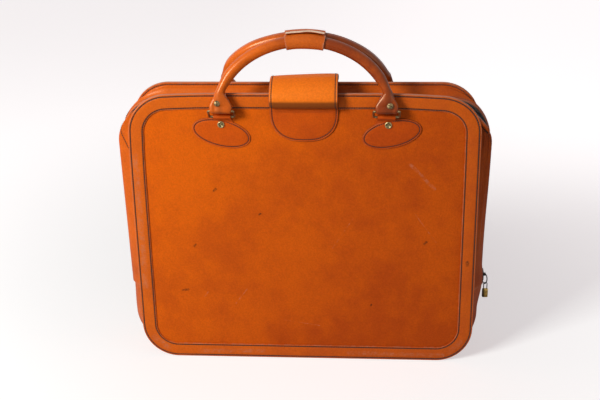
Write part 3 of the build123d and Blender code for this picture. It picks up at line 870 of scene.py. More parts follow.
def half_gusset(side):
    """Half a gusset: a flange on the panel, a tight fold, then a cubic that bulges or sags to the zip."""
    path = arch(CASE_WIDTH / 2, PANEL_HEIGHT, CORNER, SEAM_END)
    mouth = arch(MOUTH_WIDE, MOUTH_TOP, MOUTH_CORNER, ZIP_END)
    zip_edge = zip_line(side, mouth, MOUTH_HALF)
    rows = ((0.7, 0.0), (1.6, 0.1), (2.4, 0.0), (3.0, 0.35), (3.6, 0.0), (4.4, 0.0))
    flange = [seam_frame(side, path, inset, FLANGE + sunk)[0] for inset, sunk in rows]
    fold, away = seam_frame(side, path, 5.4, FLANGE - 0.6)
    inward = -panel_out(side, len(path))
    span = np.linalg.norm(zip_edge - fold, axis=1)[:, None]
    bulge = side_bulge(*mouth.T)[:, None]
    top = 1 - step(np.abs(mouth[:, 0]), 150, 235)[:, None]
    p1 = fold + inward * (0.30 * span) + away * (bulge * 0.9 - 1.5 * top)
    p2 = zip_edge - inward * (0.42 * span) + away * (bulge * 1.2 - 0.5 * top)
    t = np.linspace(0, 1, 30)
    curve = bezier(fold, p1, p2, zip_edge, t)
    pleats(curve, t, mouth, away)
    points = np.concatenate([np.stack(flange, 1), curve], axis=1)
    depth = MOUTH_TOP - mouth[:, 1]
    dart = np.interp(depth, DART_DEPTHS, DART_PLACES)
    sewn = (depth > DART_TOP) & (depth < DART_FOOT) & (mouth[:, 0] < 0)
    burnt = np.zeros(points.shape[:2])
    burnt[:, SEWN_ROW] = 0.9
    burnt[:, ZIP_ROW] = 0.5
    burnt[sewn, FLANGE_ROWS:] += 0.7 * bell(t[None, :], dart[sewn, None], 0.02)
    word = WORD[side]
    pile = Pile()
    pile.sheet(points, GUSSET, flip=side < 0, dark=np.clip(burnt, 0, 1))
    pile.build(f"{word}_gusset", GUSSET_LEATHER, SHELL[side], [f"{word}_half_gusset"])
    thread = Pile()
    row = seam_frame(side, path, OUTER_ROW, FLANGE + 0.25)[0]
    stitch_line(thread, row, inward, STITCH_PITCH, length=2.9, width=1.2)
    faces = normals(points) * side
    outs = faces[:, ZIP_ROW]
    stitch_line(thread, points[:, ZIP_ROW] - 0.35 * outs, outs, pitch=3.0, length=2.0, width=0.8)
    place = dart[sewn] * (len(t) - 1)
    low, share = place.astype(int) + FLANGE_ROWS, (place % 1)[:, None]
    on = np.flatnonzero(sewn)
    seam = points[on, low] * (1 - share) + points[on, low + 1] * share
    stitch_line(thread, seam, faces[on, low], pitch=3.0, length=2.0, width=0.9)
    thread.build(f"{word}_gusset_stitches", THREAD, SHELL[side])


def pleats(curve, t, mouth, away):
    """Folds of the right side: sharp ridges with soft valleys, which fan out from the top corner."""
    depth = MOUTH_TOP - mouth[:, 1]
    fade = step(depth, 6, 34) * (1 - step(depth, 70, 250)) * step(mouth[:, 0], 222, 240)
    ridge = np.zeros((len(curve), len(t)))
    for place, size in ((0.16, 1.5), (0.36, 2.0), (0.58, 1.7)):
        spread = 0.08 + (place - 0.08) * step(depth, 5, 60) - 0.10 * step(depth, 90, 240)
        aside = t[None, :] - spread[:, None]
        ridge += size * bell(aside, 0.0, 0.05) - 0.8 * size * bell(aside, 0.10, 0.065)
    ridge *= 1 - step(t, 0.72, 0.95)[None, :]
    curve += (fade[:, None] * ridge)[..., None] * away[:, None]


def base_gusset():
    """The closed lower gusset, from flange to flange: bulged at the left and drawn in at the right."""
    path = cradle(CASE_WIDTH / 2, 0.0, CORNER, SEAM_END)
    middle = cradle(MOUTH_WIDE, GUSSET_LIFT, GUSSET_CORNER, ZIP_END)
    centre = np.stack([middle[:, 0] + SHIFT, np.zeros(len(middle)), middle[:, 1]], -1)
    drawn = np.where(middle[:, 0] > 0, 5.0, 1.0) * step(middle[:, 1], 4, 40)
    centre[:, 0] -= drawn * (1 - step(middle[:, 1], 60, ZIP_END - 2))
    bulge = side_bulge(*middle.T)[:, None]
    halves = []
    for side in (FRONT, REAR):
        flange = [seam_frame(side, path, inset, FLANGE)[0] for inset in (0.7, 2.0, 3.2, 4.4)]
        fold, away = seam_frame(side, path, 5.2, FLANGE - 0.6)
        inward = -panel_out(side, len(path))
        span = np.linalg.norm(centre - fold, axis=1)[:, None]
        p1 = fold + inward * (0.28 * span) + away * (bulge * 0.9 + 1.0)
        p2 = centre - inward * (0.5 * span) * np.array([[0.0, 1.0, 0.0]]) + away * bulge * 0.6
        curve = bezier(fold, p1, p2, centre, np.linspace(0, 1, 18))
        points = np.concatenate([np.stack(flange, 1), curve], axis=1)
        points[..., 2] = np.maximum(points[..., 2], 0.4)
        halves.append(points)
    pile = Pile()
    pile.sheet(np.concatenate([halves[0], halves[1][:, ::-1][:, 1:]], axis=1), GUSSET, flip=True)
    bends = ("rear_shell", "front_shell", (0.0, 0.030, 0.05), (0.0, -0.030, 0.05))
    pile.build("base_gusset_leather", GUSSET_LEATHER, None, ["base_gusset"], bends)
    for side in (FRONT, REAR):
        thread = Pile()
        row = seam_frame(side, path, OUTER_ROW, FLANGE - 0.1)[0]
        stitch_line(thread, row, -panel_out(side, len(row)), STITCH_PITCH, length=2.9, width=1.2)
        thread.build(f"{WORD[side]}_base_stitches", THREAD, SHELL[side])


for side in (FRONT, REAR):
    half_gusset(side)
base_gusset()


# Zip
ZIP_SHUT = 3.3
TOOTH_PITCH = 2.0
TAPE_INSET = 1.1
FRONT_END = 14.7


def zip_tape(side, mouth):
    """The woven tape under the gusset's edge; the front one hangs back and down at the open corners."""
    widths = np.array([14.8, 12.5, 10.0, 8.0, 6.5, 5.2, 4.2, 3.6])
    points = np.stack([zip_line(side, mouth, y, lower=1.0, open_out=0.0) for y in widths], 1)
    if side < 0:
        pull = corner_pull(mouth)[:, None] * step(widths, 3.0, 14.0)[None, :]
        points[..., 1] -= 4.5 * pull
        points[..., 2] -= 6.5 * pull
    points[..., 1] -= side * ZIP_SHUT * shut(mouth)[:, None]
    pile = Pile()
    pile.sheet(points, 0.6, flip=side > 0)
    word = WORD[side]
    piece = pile.build(f"{word}_tape", TAPE, SHELL[side], [f"{word}_zip_tape"])
    flat = ((widths[0] - widths[-1]) * MM, run_length(mouth)[-1] * MM)


def zip_teeth(side, mouth):
    """A row of teeth along the tape, half a pitch off the other row: blocks that narrow towards both ends."""
    length = run_length(mouth)[-1]
    half = int(length / TOOTH_PITCH / 2) - 1
    middle = length / 2 + (np.arange(-half, half) + (0.25 if side > 0 else 0.75)) * TOOTH_PITCH
    row = zip_line(side, mouth, 0.0, open_out=0.0)[:, [0, 2]] - [SHIFT, 0.0]
    at = resample(row, np.clip(middle, 0, length - 0.01) * run_length(row)[-1] / length)
    ahead, out = unit(np.gradient(at, axis=0))[:, None], outward(at)[:, None]
    along = np.array([-0.48, 0.48, 0.48, -0.48])[:, None]
    deep = np.array([1.0, 1.0, -1.4, -1.4])[:, None]
    rings = []
    for y, share in ((4.6, 0.8), (4.4, 1.0), (3.0, 1.0), (2.6, 0.7)):
        x, z = np.moveaxis(at[:, None] + ahead * (along * share) + out * (deep * share), -1, 0)
        aside = side * (y - ZIP_SHUT * shut(at)[:, None]) + 0 * x
        rings.append(np.stack([x + SHIFT, aside, z], -1))
    pile = Pile()
    pile.prisms(np.stack(rings, 1), flip=side < 0)
    word = WORD[side]
    pile.build(f"{word}_teeth", ZIP_METAL, SHELL[side], [f"{word}_zip_teeth"], sharp=30)


def pull_ring():
    """The pull: a ring of round wire, c + a cos t e + b sin t f, from the slider's bridge to the shackle."""
    high, low = PIVOT["zip_pull_swing"], PIVOT["padlock_swing"]
    centre, reach = (high + low) / 2, np.linalg.norm(high - low) / 2
    up = unit(high - low)
    aside = unit(0.72 * np.array([up[2], 0.0, -up[0]]) + 0.69 * np.array([0.0, 1.0, 0.0]))
    face = np.cross(up, aside)
    turn = full_turn(64)[:, None]
    path = centre + reach * np.cos(turn) * up + 4.7 * np.sin(turn) * aside
    away = np.cross(unit(np.roll(path, -1, 0) - np.roll(path, 1, 0)), face)[:, None]
    section = full_turn(12)[:, None]
    pile = Pile()
    pile.grid(path[:, None] + 0.72 * (np.cos(section) * away + np.sin(section) * face), True, True)
    pile.build("pull_ring", ZIP_METAL, "zip_pull", ["zip_pull"])


def padlock():
    """The padlock's body: outlines |x/a|^5 + |y/b|^5 = 1 stacked up, drawn in at its ends and at a groove."""
    low, high = solid_box("padlock_body")
    centre, half = (low + high) / 2, (high - low) / 2
    inset = np.array([1.9, 0.7, 0.2, 0.0, 0.0, 0.25, 0.25, 0.0, 0.0, 0.0, 0.0, 0.2, 0.7, 1.9])[:, None]
    rise = np.array([0.0, 0.1, 0.5, 1.2, 2.1, 2.3, 2.6, 2.8, 5.0, 8.0, 11.6, 12.4, 12.9, 13.0])[:, None]
    height = rise / rise[-1]
    turn = full_turn(64)
    x = centre[0] + (half[0] - inset) * squared(np.cos(turn), 0.4)
    y = centre[1] + (half[1] - inset) * squared(np.sin(turn), 0.4)
    z = low[2] + (high[2] - low[2]) * height + 0 * x
    # Painted shade: the body's left part, which faces the dark leather, is darkened, and a dark band runs in
    # its groove.
    grime_and_painted_shade = 0.85 * (1 - step(x, centre[0] - 1.6, centre[0] - 0.6)) + 0.5 * bell(height, 0.19, 0.02)
    pile = Pile()
    start = pile.grid(np.stack([x, y, z], -1), wrap_v=True, flip=True, dark=np.clip(grime_and_painted_shade, 0, 1))
    pile.fan(start, 64, (*centre[:2], low[2]), flip=True)
    pile.fan(start + 13 * 64, 64, (*centre[:2], high[2]))
    pile.build("padlock_case", LOCK_BRASS, "padlock_body", ["padlock_body"])


def end_stop():
    """The leather tab sewn over the zip's lower end, its face bowed out by 0.5 (1 - a^2) (1 - 0.4 u^2)."""
    low, high = solid_box("zip_end_stop")
    up, across = np.linspace(-1, 1, 9)[:, None], np.linspace(-1, 1, 15)[None, :]
    x = high[0] - 0.5 + 0.5 * (1 - across**2) * (1 - 0.4 * up**2)
    y = (high[1] - 0.2) * across * (1 - 0.05 * up**4)
    z = (low[2] + high[2]) / 2 + (high[2] - low[2]) / 2 * up + 0 * across
    pile = Pile()
    pile.sheet(np.stack([x, y, z], -1), 0.8, flip=True, reach=0.7)
    pile.build("zip_end_tab", GUSSET_LEATHER, "rear_shell", ["zip_end_stop"])


for side in (FRONT, REAR):
    low = ZIP_END + (FRONT_END if side < 0 else 0.0)
    zip_mouth = arch(MOUTH_WIDE - TAPE_INSET, MOUTH_TOP - TAPE_INSET, MOUTH_CORNER - TAPE_INSET, low)
    zip_tape(side, zip_mouth)
    zip_teeth(side, zip_mouth)
pull_ring()
padlock()
end_stop()


# Handles
ROLL_R = 7.2
FOOT_THICK = 4.0
ROUND = 48
BAR = panel(FRONT, 0.0, RING_HEIGHT, RING_OUT)
HANDLE_LEAN = math.asin((-BAR[1] - SLEEVE_R - 0.15) / HANDLE_RISE)


def handle_place(side, x, v, n):
    """The point across x, up v and out n of a handle's own plane, which leans in from the ring bars."""
    y = side * (-BAR[1] - v * math.sin(HANDLE_LEAN) + n * math.cos(HANDLE_LEAN))
    z = BAR[2] + v * math.cos(HANDLE_LEAN) + n * math.sin(HANDLE_LEAN)
    return np.stack(np.broadcast_arrays(x + FITTINGS + SHIFT, y, z), -1)


def handle_line(side, turn):
    """The handle's centre line: a half ellipse, the rear one's sides drawn a little to the left."""
    x, v = HANDLE_SPAN * np.cos(turn), HANDLE_RISE * np.sin(turn)
    if side > 0:
        x = x - 3.5 * step(v, 10.0, 50.0) * (1 - 0.75 * step(v, 70.0, 88.0))
    return x, v


def roll_line(side):
    """The roll's line from foot to foot: from under the ring's bar straight up, and over the half ellipse."""
    arch_x, arch_v = handle_line(side, np.radians(np.linspace(15.0, 165.0, 150)))
    under = -3.3 * np.sin(np.radians(np.linspace(88.0, 0.0, 9)))
    foot_v = np.concatenate([under, np.linspace(0.0, arch_v[0], 20)[1:-1]])
    feet = []
    for end, k in ((1, 0), (-1, -1)):
        foot_x = end * RING_SPACING / 2
        feet.append(foot_x + (arch_x[k] - foot_x) * step(foot_v, 4.0, arch_v[k] + 2))
    x = np.concatenate([feet[0], arch_x, feet[1][::-1]])
    return x, np.concatenate([foot_v, arch_v, foot_v[::-1]])


def section_round(side, x, v, away, a, b):
    """A handle's section round each point of its line: a along away in the handle's plane, b out of it."""
    return handle_place(side, x[:, None] + a * away[:, :1], v[:, None] + a * away[:, 1:], b)


def handle_roll(side):
    """The rolled handle: a round section that flattens to a foot, whose rounded end wraps the ring's bar."""
    x, v = roll_line(side)
    flat = np.where(np.abs(x) < 80, 0.0, 1 - step(v, 4.0, 37.0))
    ahead = unit(np.stack([np.gradient(x), np.gradient(v)], -1))
    ahead = np.where(v[:, None] < 12, np.array([[0.0, 1.0]]) * np.sign(x)[:, None], ahead)
    away = np.stack([ahead[:, 1], -ahead[:, 0]], -1)
    close = np.sqrt(np.clip(1 - (np.minimum(v, 0) / 3.35) ** 2, 0.0, 1.0))
    corner = 2.4 * (1 - np.sqrt(np.clip(1 - ((4.0 - v) / 7.4).clip(0, 1) ** 2, 0, 1)))
    wide = ROLL_R - 1.7 * bell(v, 26, 13) + 7.0 * flat**2.2 + 0.8 * bell(v, 7, 5) * (flat > 0.2) - corner
    thick = (ROLL_R + (FOOT_THICK - ROLL_R) * flat) * close
    around = full_turn(ROUND)
    c, s = np.cos(around), np.sin(around)
    x, v, flat = x[:, None], v[:, None], flat[:, None]
    a = squared(c, 2.0 / (2.0 + 1.5 * flat)) * wide[:, None]
    b = squared(s, 2.0 / (2.0 + 1.5 * flat)) * thick[:, None]
    if side > 0:
        a = np.where((a > ROLL_R) & (x > 0), ROLL_R + 0.5 * (a - ROLL_R), a)
    front = np.clip(s, 0, 1)
    spine = 1.9 * flat * step(v, 2.0, 14.0) * (flat < 0.985)
    b += (spine * bell(a, 0.0, 5.0) - 0.9 * flat * bell(a, 7.5, 2.0)) * front
    seam = bell(around, 0.32 if side < 0 else 0.5, 0.085) * (1 - flat)
    a, b = a * (1 + 0.07 * seam), b * (1 + 0.07 * seam)
    worn = 0.95 * seam * (x > 20)
    rim = 0.3 * bell(np.abs(c) ** 4, 1.0, 0.25) * flat
    # Painted shade on the feet: darker down the middle of each foot and at its lower edge round the ring's
    # bar.
    grime_and_painted_shade = (0.4 * bell(a, 1.5, 3.5) + 0.3 * bell(v, -2.0, 2.0)) * flat * front
    points = section_round(side, x[:, 0], v[:, 0], away, a, b)
    pile = Pile()
    flip = side > 0
    start = pile.grid(points, wrap_v=True, flip=flip, wear=np.maximum(worn, rim), dark=grime_and_painted_shade)
    pile.fan(start, ROUND, points[0].mean(0), flip=flip)
    pile.fan(start + (len(points) - 1) * ROUND, ROUND, points[-1].mean(0), flip=not flip)
    word = WORD[side]
    pile.build(f"{word}_handle", HANDLE_LEATHER, HANDLE[side], [f"{word}_handle_roll"])


def handle_sleeve(side):
    """The keeper's half on a handle: a leather ring round the roll, a little square, with cut ends."""
    half = math.degrees(math.asin(SLEEVE_WIDTH / 2 / HANDLE_SPAN))
    middle = 90 - math.degrees(math.asin(2.0 / HANDLE_SPAN))
    rows = 24
    x, v = handle_line(side, np.radians(np.linspace(middle + half, middle - half, rows)))
    ahead = unit(np.stack([np.gradient(x), np.gradient(v)], -1))
    away = np.stack([-ahead[:, 1], ahead[:, 0]], -1)
    around = full_turn(ROUND)
    walls = []
    for radius, wave in ((SLEEVE_R - 0.1, 0.15), (SLEEVE_R - 1.5, 0.0)):
        reach = radius + wave * np.sin(x / 7.0 + 0.8)[:, None]
        a, b = reach * squared(np.cos(around), 0.92), reach * squared(np.sin(around), 0.92)
        walls.append(section_round(side, x, v, away, a, b))
    place = np.arange(rows)
    wear = np.zeros((2 * rows, ROUND))
    wear[:rows] = 0.6 * np.exp(-np.minimum(place, place[::-1]) / 1.2)[:, None]
    wear[[0, rows - 1, rows, -1]] = 0.93
    pile = Pile()
    pile.grid(np.concatenate([walls[0], walls[1][::-1]]), wrap_u=True, wrap_v=True, flip=side < 0, wear=wear)
    word = WORD[side]
    pile.build(f"{word}_keeper", KEEPER_LEATHER, HANDLE[side], [f"{word}_keeper_sleeve"])


def keeper_lap():
    """The keeper's overlapping end on the front sleeve: a short strip with a wavy cut edge on top."""
    x = np.linspace(-24.0, 24.5, 60)[:, None]
    t = np.linspace(0, 1, 12)[None, :]
    wave = 3.2 * np.sin(x / 9.0 + 0.6) + 1.6 * np.sin(x / 3.7)
    first, last = np.radians(62.0 + wave), math.radians(128.0)
    angle = first + (last - first) * t
    lip = 0.5 * np.exp(-t / 0.12) * (1 + 0.4 * np.sin(x / 5.0))
    lift = SLEEVE_R + 1.5 - 1.2 * t**2 + lip
    crown = HANDLE_RISE * np.sqrt(1 - (x / HANDLE_SPAN) ** 2)
    pile = Pile()
    points = handle_place(FRONT, x + 2.0, crown + lift * np.sin(angle), lift * np.cos(angle))
    pile.sheet(points, 2.5, flip=True, reach=1.0)
    pile.build("front_keeper_lap", KEEPER_LEATHER, "front_handle")


def slotted_rivet(pile, centre, across, up, out, radius, height, slot_turn):
    """A domed rivet head: height h (1 - 0.75 r^2) over its rim, with a straight slot cut 0.6 into it."""
    rings = np.array([0.0, 0.14, 0.3, 0.45, 0.6, 0.75, 0.87, 0.95, 1.0, 1.0])[:, None]
    around = full_turn(ROUND)
    a, b = rings * np.cos(around) * radius, rings * np.sin(around) * radius
    slot = np.exp(-(((a * math.cos(slot_turn) + b * math.sin(slot_turn)) / 0.6) ** 4)) * (rings < 0.97)
    lift = height * (1 - 0.75 * rings**2) - 0.6 * slot
    lift[-1] = -0.4
    points = centre + a[..., None] * across + b[..., None] * up + lift[..., None] * out
    start = pile.grid(points[1:], wrap_v=True, dark=0.9 * slot[1:])
    pile.fan(start, ROUND, points[0, 0])
    pile.fan(start + 8 * ROUND, ROUND, centre - 0.4 * out, flip=True)


def handle_rivets(side):
    """Slotted rivets in a handle's feet, the right one a little lower and with its slot turned further."""
    pile = Pile()
    across = np.array([-side, 0, 0])
    up = np.array([0, -side * math.sin(HANDLE_LEAN), math.cos(HANDLE_LEAN)])
    out = np.array([0, side * math.cos(HANDLE_LEAN), math.sin(HANDLE_LEAN)])
    for end in (-1, 1):
        centre = handle_place(side, end * (RING_SPACING / 2 + 4.0), 8.3 - 1.4 * end, 5.2)
        slotted_rivet(pile, centre, across, up, out, radius=3.8, height=1.7, slot_turn=0.6 + 0.5 * end)
    word = WORD[side]
    pile.build(f"{word}_foot_rivets", DULL_BRASS, HANDLE[side], [f"{word}_handle_rivets"], sharp=35)


for side in (FRONT, REAR):
    handle_roll(side)
    handle_sleeve(side)
    handle_rivets(side)
keeper_lap()


# Oval patches and the necks that hold the rings
HAND = {-1: "left", 1: "right"}
PATCH = 2.3
FRONT_OVAL_OUT = 4.8


def oval_ring(x0, end, inset):
    """An ellipse round a patch's middle, tilted towards its end and drawn in by inset: across and up."""
    around, tilt = full_turn(180), end * PATCH_TILT
    a = (PATCH_LENGTH / 2 - inset) * np.cos(around)
    b = (PATCH_HEIGHT / 2 - inset) * np.sin(around)
    x = x0 + a * math.cos(tilt) - b * math.sin(tilt)
    return x, PATCH_CENTRE + a * math.sin(tilt) + b * math.cos(tilt)


def ring_neck(pile, side, end):
    """The neck of an oval: a strip that rises out of it, loops round the ring's bar and comes back under."""
    turn = np.radians(np.linspace(-14, 222, 20))
    reach = RING_WIRE / 2 + 1.5
    v = np.concatenate([[340.0, 346.0, 350.2, 352.0, 353.6], RING_HEIGHT - CHAPE_DROP + reach * np.sin(turn)])
    n = np.concatenate([[0.3, 0.6, 1.0, 2.4, 5.2], CHAPE_OUT + reach * np.cos(turn)])
    across = np.linspace(-1, 1, 15)[:, None]
    x = FITTINGS + end * RING_SPACING / 2 + across * np.interp(v, [341, 348, 352], [16.0, 13.0, 11.2])
    curl = 0.3 * np.abs(across) ** 3
    # The neck is darkened: partly worn dark leather, partly painted shade from the foot and ring above it.
    pile.sheet(panel(side, x, v, n - curl), 1.3, flip=side < 0, dark=0.55)


def oval_patch(side, end):
    """A tilted oval with a pressed, sewn groove, and its neck; the right front one stands further out."""
    x0 = FITTINGS + end * PATCH_SPACING / 2 + (FRONT_OVAL_OUT if side < 0 < end else 0.0)
    insets = np.array([0.5, 0.1, 0.0, 0.25, 0.8, 1.5, 2.2, 2.8, 3.4, 4.2, 6.0, 9.0, 13.0, 16.5])
    raised = (0.05, 0.7, 1.3, 1.75, 2.0, 1.95, 1.55, 1.5, 1.8, 2.05, 2.2, 2.25, PATCH, PATCH)
    rings = [panel(side, *oval_ring(x0, end, inset), n) for inset, n in zip(insets, raised)]
    points = np.stack(rings, 1)
    count, depth = points.shape[:2]
    flip = side > 0
    pile = Pile()
    start = pile.grid(points, True, False, flip, CUT_WEAR[None, :], 0.9 * bell(insets, 2.5, 0.5)[None, :])
    pile.fan(start + depth - 1, count, panel(side, x0, PATCH_CENTRE, PATCH), flip=flip, stride=depth)
    pile.fan(start, count, panel(side, x0, PATCH_CENTRE, raised[0]), flip=not flip, stride=depth)
    ring_neck(pile, side, end)
    name, node = f"{WORD[side]}_oval_{HAND[end]}", f"{WORD[side]}_patch_{HAND[end]}"
    pile.build(name, PATCH_LEATHER, SHELL[side], [node])
    thread = Pile()
    row = panel(side, *oval_ring(x0, end, 2.6), 1.6)
    stitch_line(thread, row, panel_out(side, len(row)), PATCH_PITCH, length=2.1, width=1.1, closed=True)
    thread.build(name + "_stitches", THREAD, SHELL[side])


def patch_rivets(side):
    """The cupped rivets in the ovals: a rolled rim 4.6 out round a hollow, with a small nub in its middle."""
    pile = Pile()
    reach = np.array([4.5, 4.6, 4.3, 3.6, 2.9, 2.4, 1.6, 0.9, 0.5])[:, None]
    lift = np.array([0.0, 0.7, 1.25, 1.45, 1.1, 0.3, -0.1, 0.05, 0.35])[:, None]
    # Darker in the cup's hollow.
    grime_and_painted_shade = np.interp(reach, [1.0, 2.6, 3.4], [0.8, 0.8, 0.0])
    count = 36
    around = full_turn(count)
    for end in (-1, 1):
        x0 = FITTINGS + end * PATCH_SPACING / 2
        points = panel(side, x0 + reach * np.cos(around), PATCH_RIVET + reach * np.sin(around), PATCH + lift)
        start = pile.grid(points, wrap_v=True, flip=side < 0, dark=grime_and_painted_shade)
        pile.fan(start + 8 * count, count, panel(side, x0, PATCH_RIVET, PATCH + 0.45), flip=side > 0)
        pile.fan(start, count, panel(side, x0, PATCH_RIVET, PATCH), flip=side < 0)
    word = WORD[side]
    pile.build(f"{word}_cup_rivets", BRASS, SHELL[side], [f"{word}_patch_rivets"])


for side in (FRONT, REAR):
    patch_rivets(side)
    for end in (-1, 1):
        oval_patch(side, end)


# Closure strap and tongue; the crease's height is in metres
TONGUE_SHOULDER = TONGUE_TOP - 3.0
STRAP_GROOVE = 2.5
CREASE = 0.3735


def tongue_outline(inset):
    """The tongue's outline drawn in by inset: straight sides, and a foot |x/a|^2.5 + |v/b|^2.5 = 1."""
    half, drop = STRAP_WIDTH / 2 - inset, TONGUE_SHOULDER - TONGUE_BOTTOM - inset
    turn = np.linspace(0, -math.pi, 121)
    side = np.linspace(TONGUE_TOP + LAP, TONGUE_SHOULDER, 14)[:-1]
    x = np.concatenate([np.full(13, half), half * squared(np.cos(turn), 0.8), np.full(13, -half)])
    foot = TONGUE_SHOULDER - drop * np.abs(np.sin(turn)) ** 0.8
    return x, np.concatenate([side, foot, side[::-1]])


def tongue():
    """The tongue: outlines drawn in from its edge, filled across, and lifted over the band at its top."""
    insets = np.array([0.5, 0.1, 0.0, 0.3, 0.9, 1.7, 2.3, 2.9, 3.5, 4.6, 8.0, 14.0, 22.0, 30.0])
    raised = (0.05, 0.8, 1.5, 2.0, 2.25, 2.15, 1.75, 1.75, 2.1, 2.35, 2.5, 2.6, 2.65, 2.7)
    rings = []
    for inset, n in zip(insets, raised):
        x, v = tongue_outline(inset)
        lap = step(v, TONGUE_TOP - 5.0, TONGUE_TOP) * (BAND + 0.1)
        soft = 0.25 * np.sin(x / 13 + 1) * np.sin(v / 17) * (inset > 3)
        rings.append(panel(FRONT, x + FITTINGS, v, n * np.where(v > TONGUE_TOP, 0.9, 1.0) + lap + soft))
    points = np.stack(rings, 1)
    pile = Pile()
    start = pile.grid(points, flip=True, wear=CUT_WEAR[None, :], dark=0.9 * bell(insets, 2.6, 0.5)[None, :])
    count, depth = points.shape[:2]
    half, strips = count // 2, 27
    tops = []
    for rim, flip in ((points[:, -1], True), (points[:, 0], False)):
        first, last = rim[:half, None], rim[::-1][:half, None]
        top = pile.grid(first + (last - first) * np.linspace(0, 1, strips)[None, :, None], flip=flip)
        tip = pile.add_points(rim[half:half + 1])
        row = top + (half - 1) * strips + np.arange(strips)
        pile.add_faces(np.stack([row[:-1], np.full(strips - 1, tip), row[1:]], -1), flip)
        tops.append(top + np.arange(strips))
    edge = start + np.arange(depth)
    end = np.concatenate([edge[:-1], tops[0][:-1], (edge + (count - 1) * depth)[:0:-1], tops[1][:0:-1]])
    pile.add_faces(end[None, :], flip=True)
    pile.build("tongue", PATCH_LEATHER, "front_shell", ["strap_tongue"])
    thread = Pile()
    row = 0.5 * (points[:, 6] + points[:, 7])
    stitch_line(thread, row, panel_out(FRONT, len(row)), PATCH_PITCH, length=2.1, width=1.1)
    thread.build("tongue_stitches", THREAD, "front_shell")


def strap_profile():
    """The strap's outer face, depth and height: from the lap round the nose, over the mouth to the catch."""
    root = panel(FRONT, 0.0, TONGUE_TOP + LAP, BAND + TONGUE - 0.6)
    low = root[2] - 3.4
    top = FOOT + PANEL_HEIGHT * math.cos(LEAN)
    half_top = BASE_DEPTH / 2 - PANEL_HEIGHT * math.sin(LEAN)
    nose = root[1] - STRAP_FRONT - 2.0
    crown = top + STRAP_CROWN + 3.0
    control = np.array([
        (root[1] + 1.0, low), (nose + 9.0, low - 0.4), (nose + 5.6, low + 0.6), (nose + 2.8, low + 3.2),
        (nose + 1.0, low + 6.8), (nose, low + 11.5), (nose + 0.5, low + 16.0), (nose + 3.2, low + 21.5),
        (nose + 8.5, low + 26.5), (nose + 15.5, crown - 4.6), (-16.0, crown - 1.2), (-5.5, crown),
        (2.0, crown - 2.2), (6.0, top + 10.5), (8.0, top + 6.4), (12.0, top + 4.6), (17.0, top + 4.6),
        (half_top + 2.0, top + 4.9),
    ])
    t = run_length(control)
    fine = np.linspace(0, t[-1], 400)
    smooth = np.stack([np.interp(fine, t, control[:, k]) for k in range(2)], -1)
    for _ in range(60):
        smooth[1:-1] = 0.25 * smooth[:-2] + 0.5 * smooth[1:-1] + 0.25 * smooth[2:]
    return resample(smooth, np.linspace(0, run_length(smooth)[-1], 96))


def strap():
    """The closure strap: its profile carried across, a little crowned, with its rear corners rounded off."""
    profile = strap_profile()
    length = run_length(profile)
    out = -outward(profile)
    edge = np.concatenate([[0, 0.5, 1.2, 1.9, 2.3, 2.7, 3.1, 3.8], np.linspace(5, STRAP_WIDTH - 5, 34)])
    edge = np.unique(np.round(np.concatenate([edge, STRAP_WIDTH - edge]), 4))
    across = edge / STRAP_WIDTH * 2 - 1
    near = np.minimum(edge, STRAP_WIDTH - edge)
    crown = 0.7 * (1 - across**4) - 0.4 * bell(near, STRAP_GROOVE, 0.55) - 0.7
    left = length[-1] - length
    corner = 24.0
    narrow = np.where(left < corner, corner - np.sqrt(np.maximum(corner**2 - (corner - left) ** 2, 0)), 0.0)
    x = (STRAP_WIDTH / 2 - 1.0 - narrow)[:, None] * across + FITTINGS + SHIFT
    high = profile[:, 1:]
    lift = crown + 0.12 * np.sin(x / 15 + 0.8) * step(high, 376, 390)
    y = profile[:, :1] + out[:, :1] * lift
    z = high + out[:, 1:] * lift + (1.7 + 1.6 * across) * step(high, 385, 398)
    points = np.stack([x, y, z], -1)
    # Painted shade with some dirt: the strap's first 18 to 22 mm, its downward facing nose, is darkened.
    dirt_and_painted_shade = 0.80 * (1 - step(length, 18.0, 22.5))[:, None]
    pile = Pile()
    pile.sheet(points, STRAP, flip=True, reach=1.2, dark=np.maximum(bell(near, STRAP_GROOVE, 0.5), dirt_and_painted_shade))
    bends = ("front_shell", "closure_strap", (0.0, -0.041, CREASE - 0.004), (0.0, -0.041, CREASE + 0.004))
    pile.build("strap_cover", STRAP_LEATHER, None, ["closure_strap"], bends)
    thread = Pile()
    face = -normals(points)
    for place in (STRAP_GROOVE, STRAP_WIDTH - STRAP_GROOVE):
        column = int(np.argmin(np.abs(edge - place)))
        stitch_line(thread, points[2:82, column], face[2:82, column], PATCH_PITCH, length=2.2, width=1.15)
    thread.build("strap_stitches", THREAD, bends=bends)


tongue()
strap()


# Boards, linings, the catch and the finishes of the solids that stay
BOARD_THICKNESS = 2.5
LINING_INSET = 7.0
INSIDE_PITCH = 4.0


def lining(side):
    """The lining: a cloth sheet on the board's inner face, with slow ripples r sin(x / 17) sin(v / 23)."""
    face = -LEATHER - BOARD_THICKNESS - 1.0
    insets = (LINING_INSET, 7.6, 9.0, 14.0, 22.0, 34.0, 46.0)
    outlines = [panel_outline(inset, INSIDE_PITCH) for inset in insets]
    rings = []
    for size, drawn_in in ((0.12, outlines), (0.15, shrunk(outlines[-1], 14))):
        for outline in drawn_in:
            x, v = outline.T
            rings.append(panel(side, x, v, face + size * np.sin(x / 17) * np.sin(v / 23)))
    points = np.stack(rings, 1)
    count, depth = points.shape[:2]
    flip = side < 0
    pile = Pile()
    start = pile.grid(points, wrap_u=True, flip=flip)
    pile.fan(start + depth - 1, count, panel(side, *PANEL_MIDDLE, face), flip=flip, stride=depth)
    spread = np.concatenate(pile.points)[:, [0, 2]] * MM
    pile.maps = [spread[faces] for faces in pile.faces]
    word = WORD[side]
    piece = pile.build(f"{word}_lining_cloth", LINING, SHELL[side], [f"{word}_lining"])


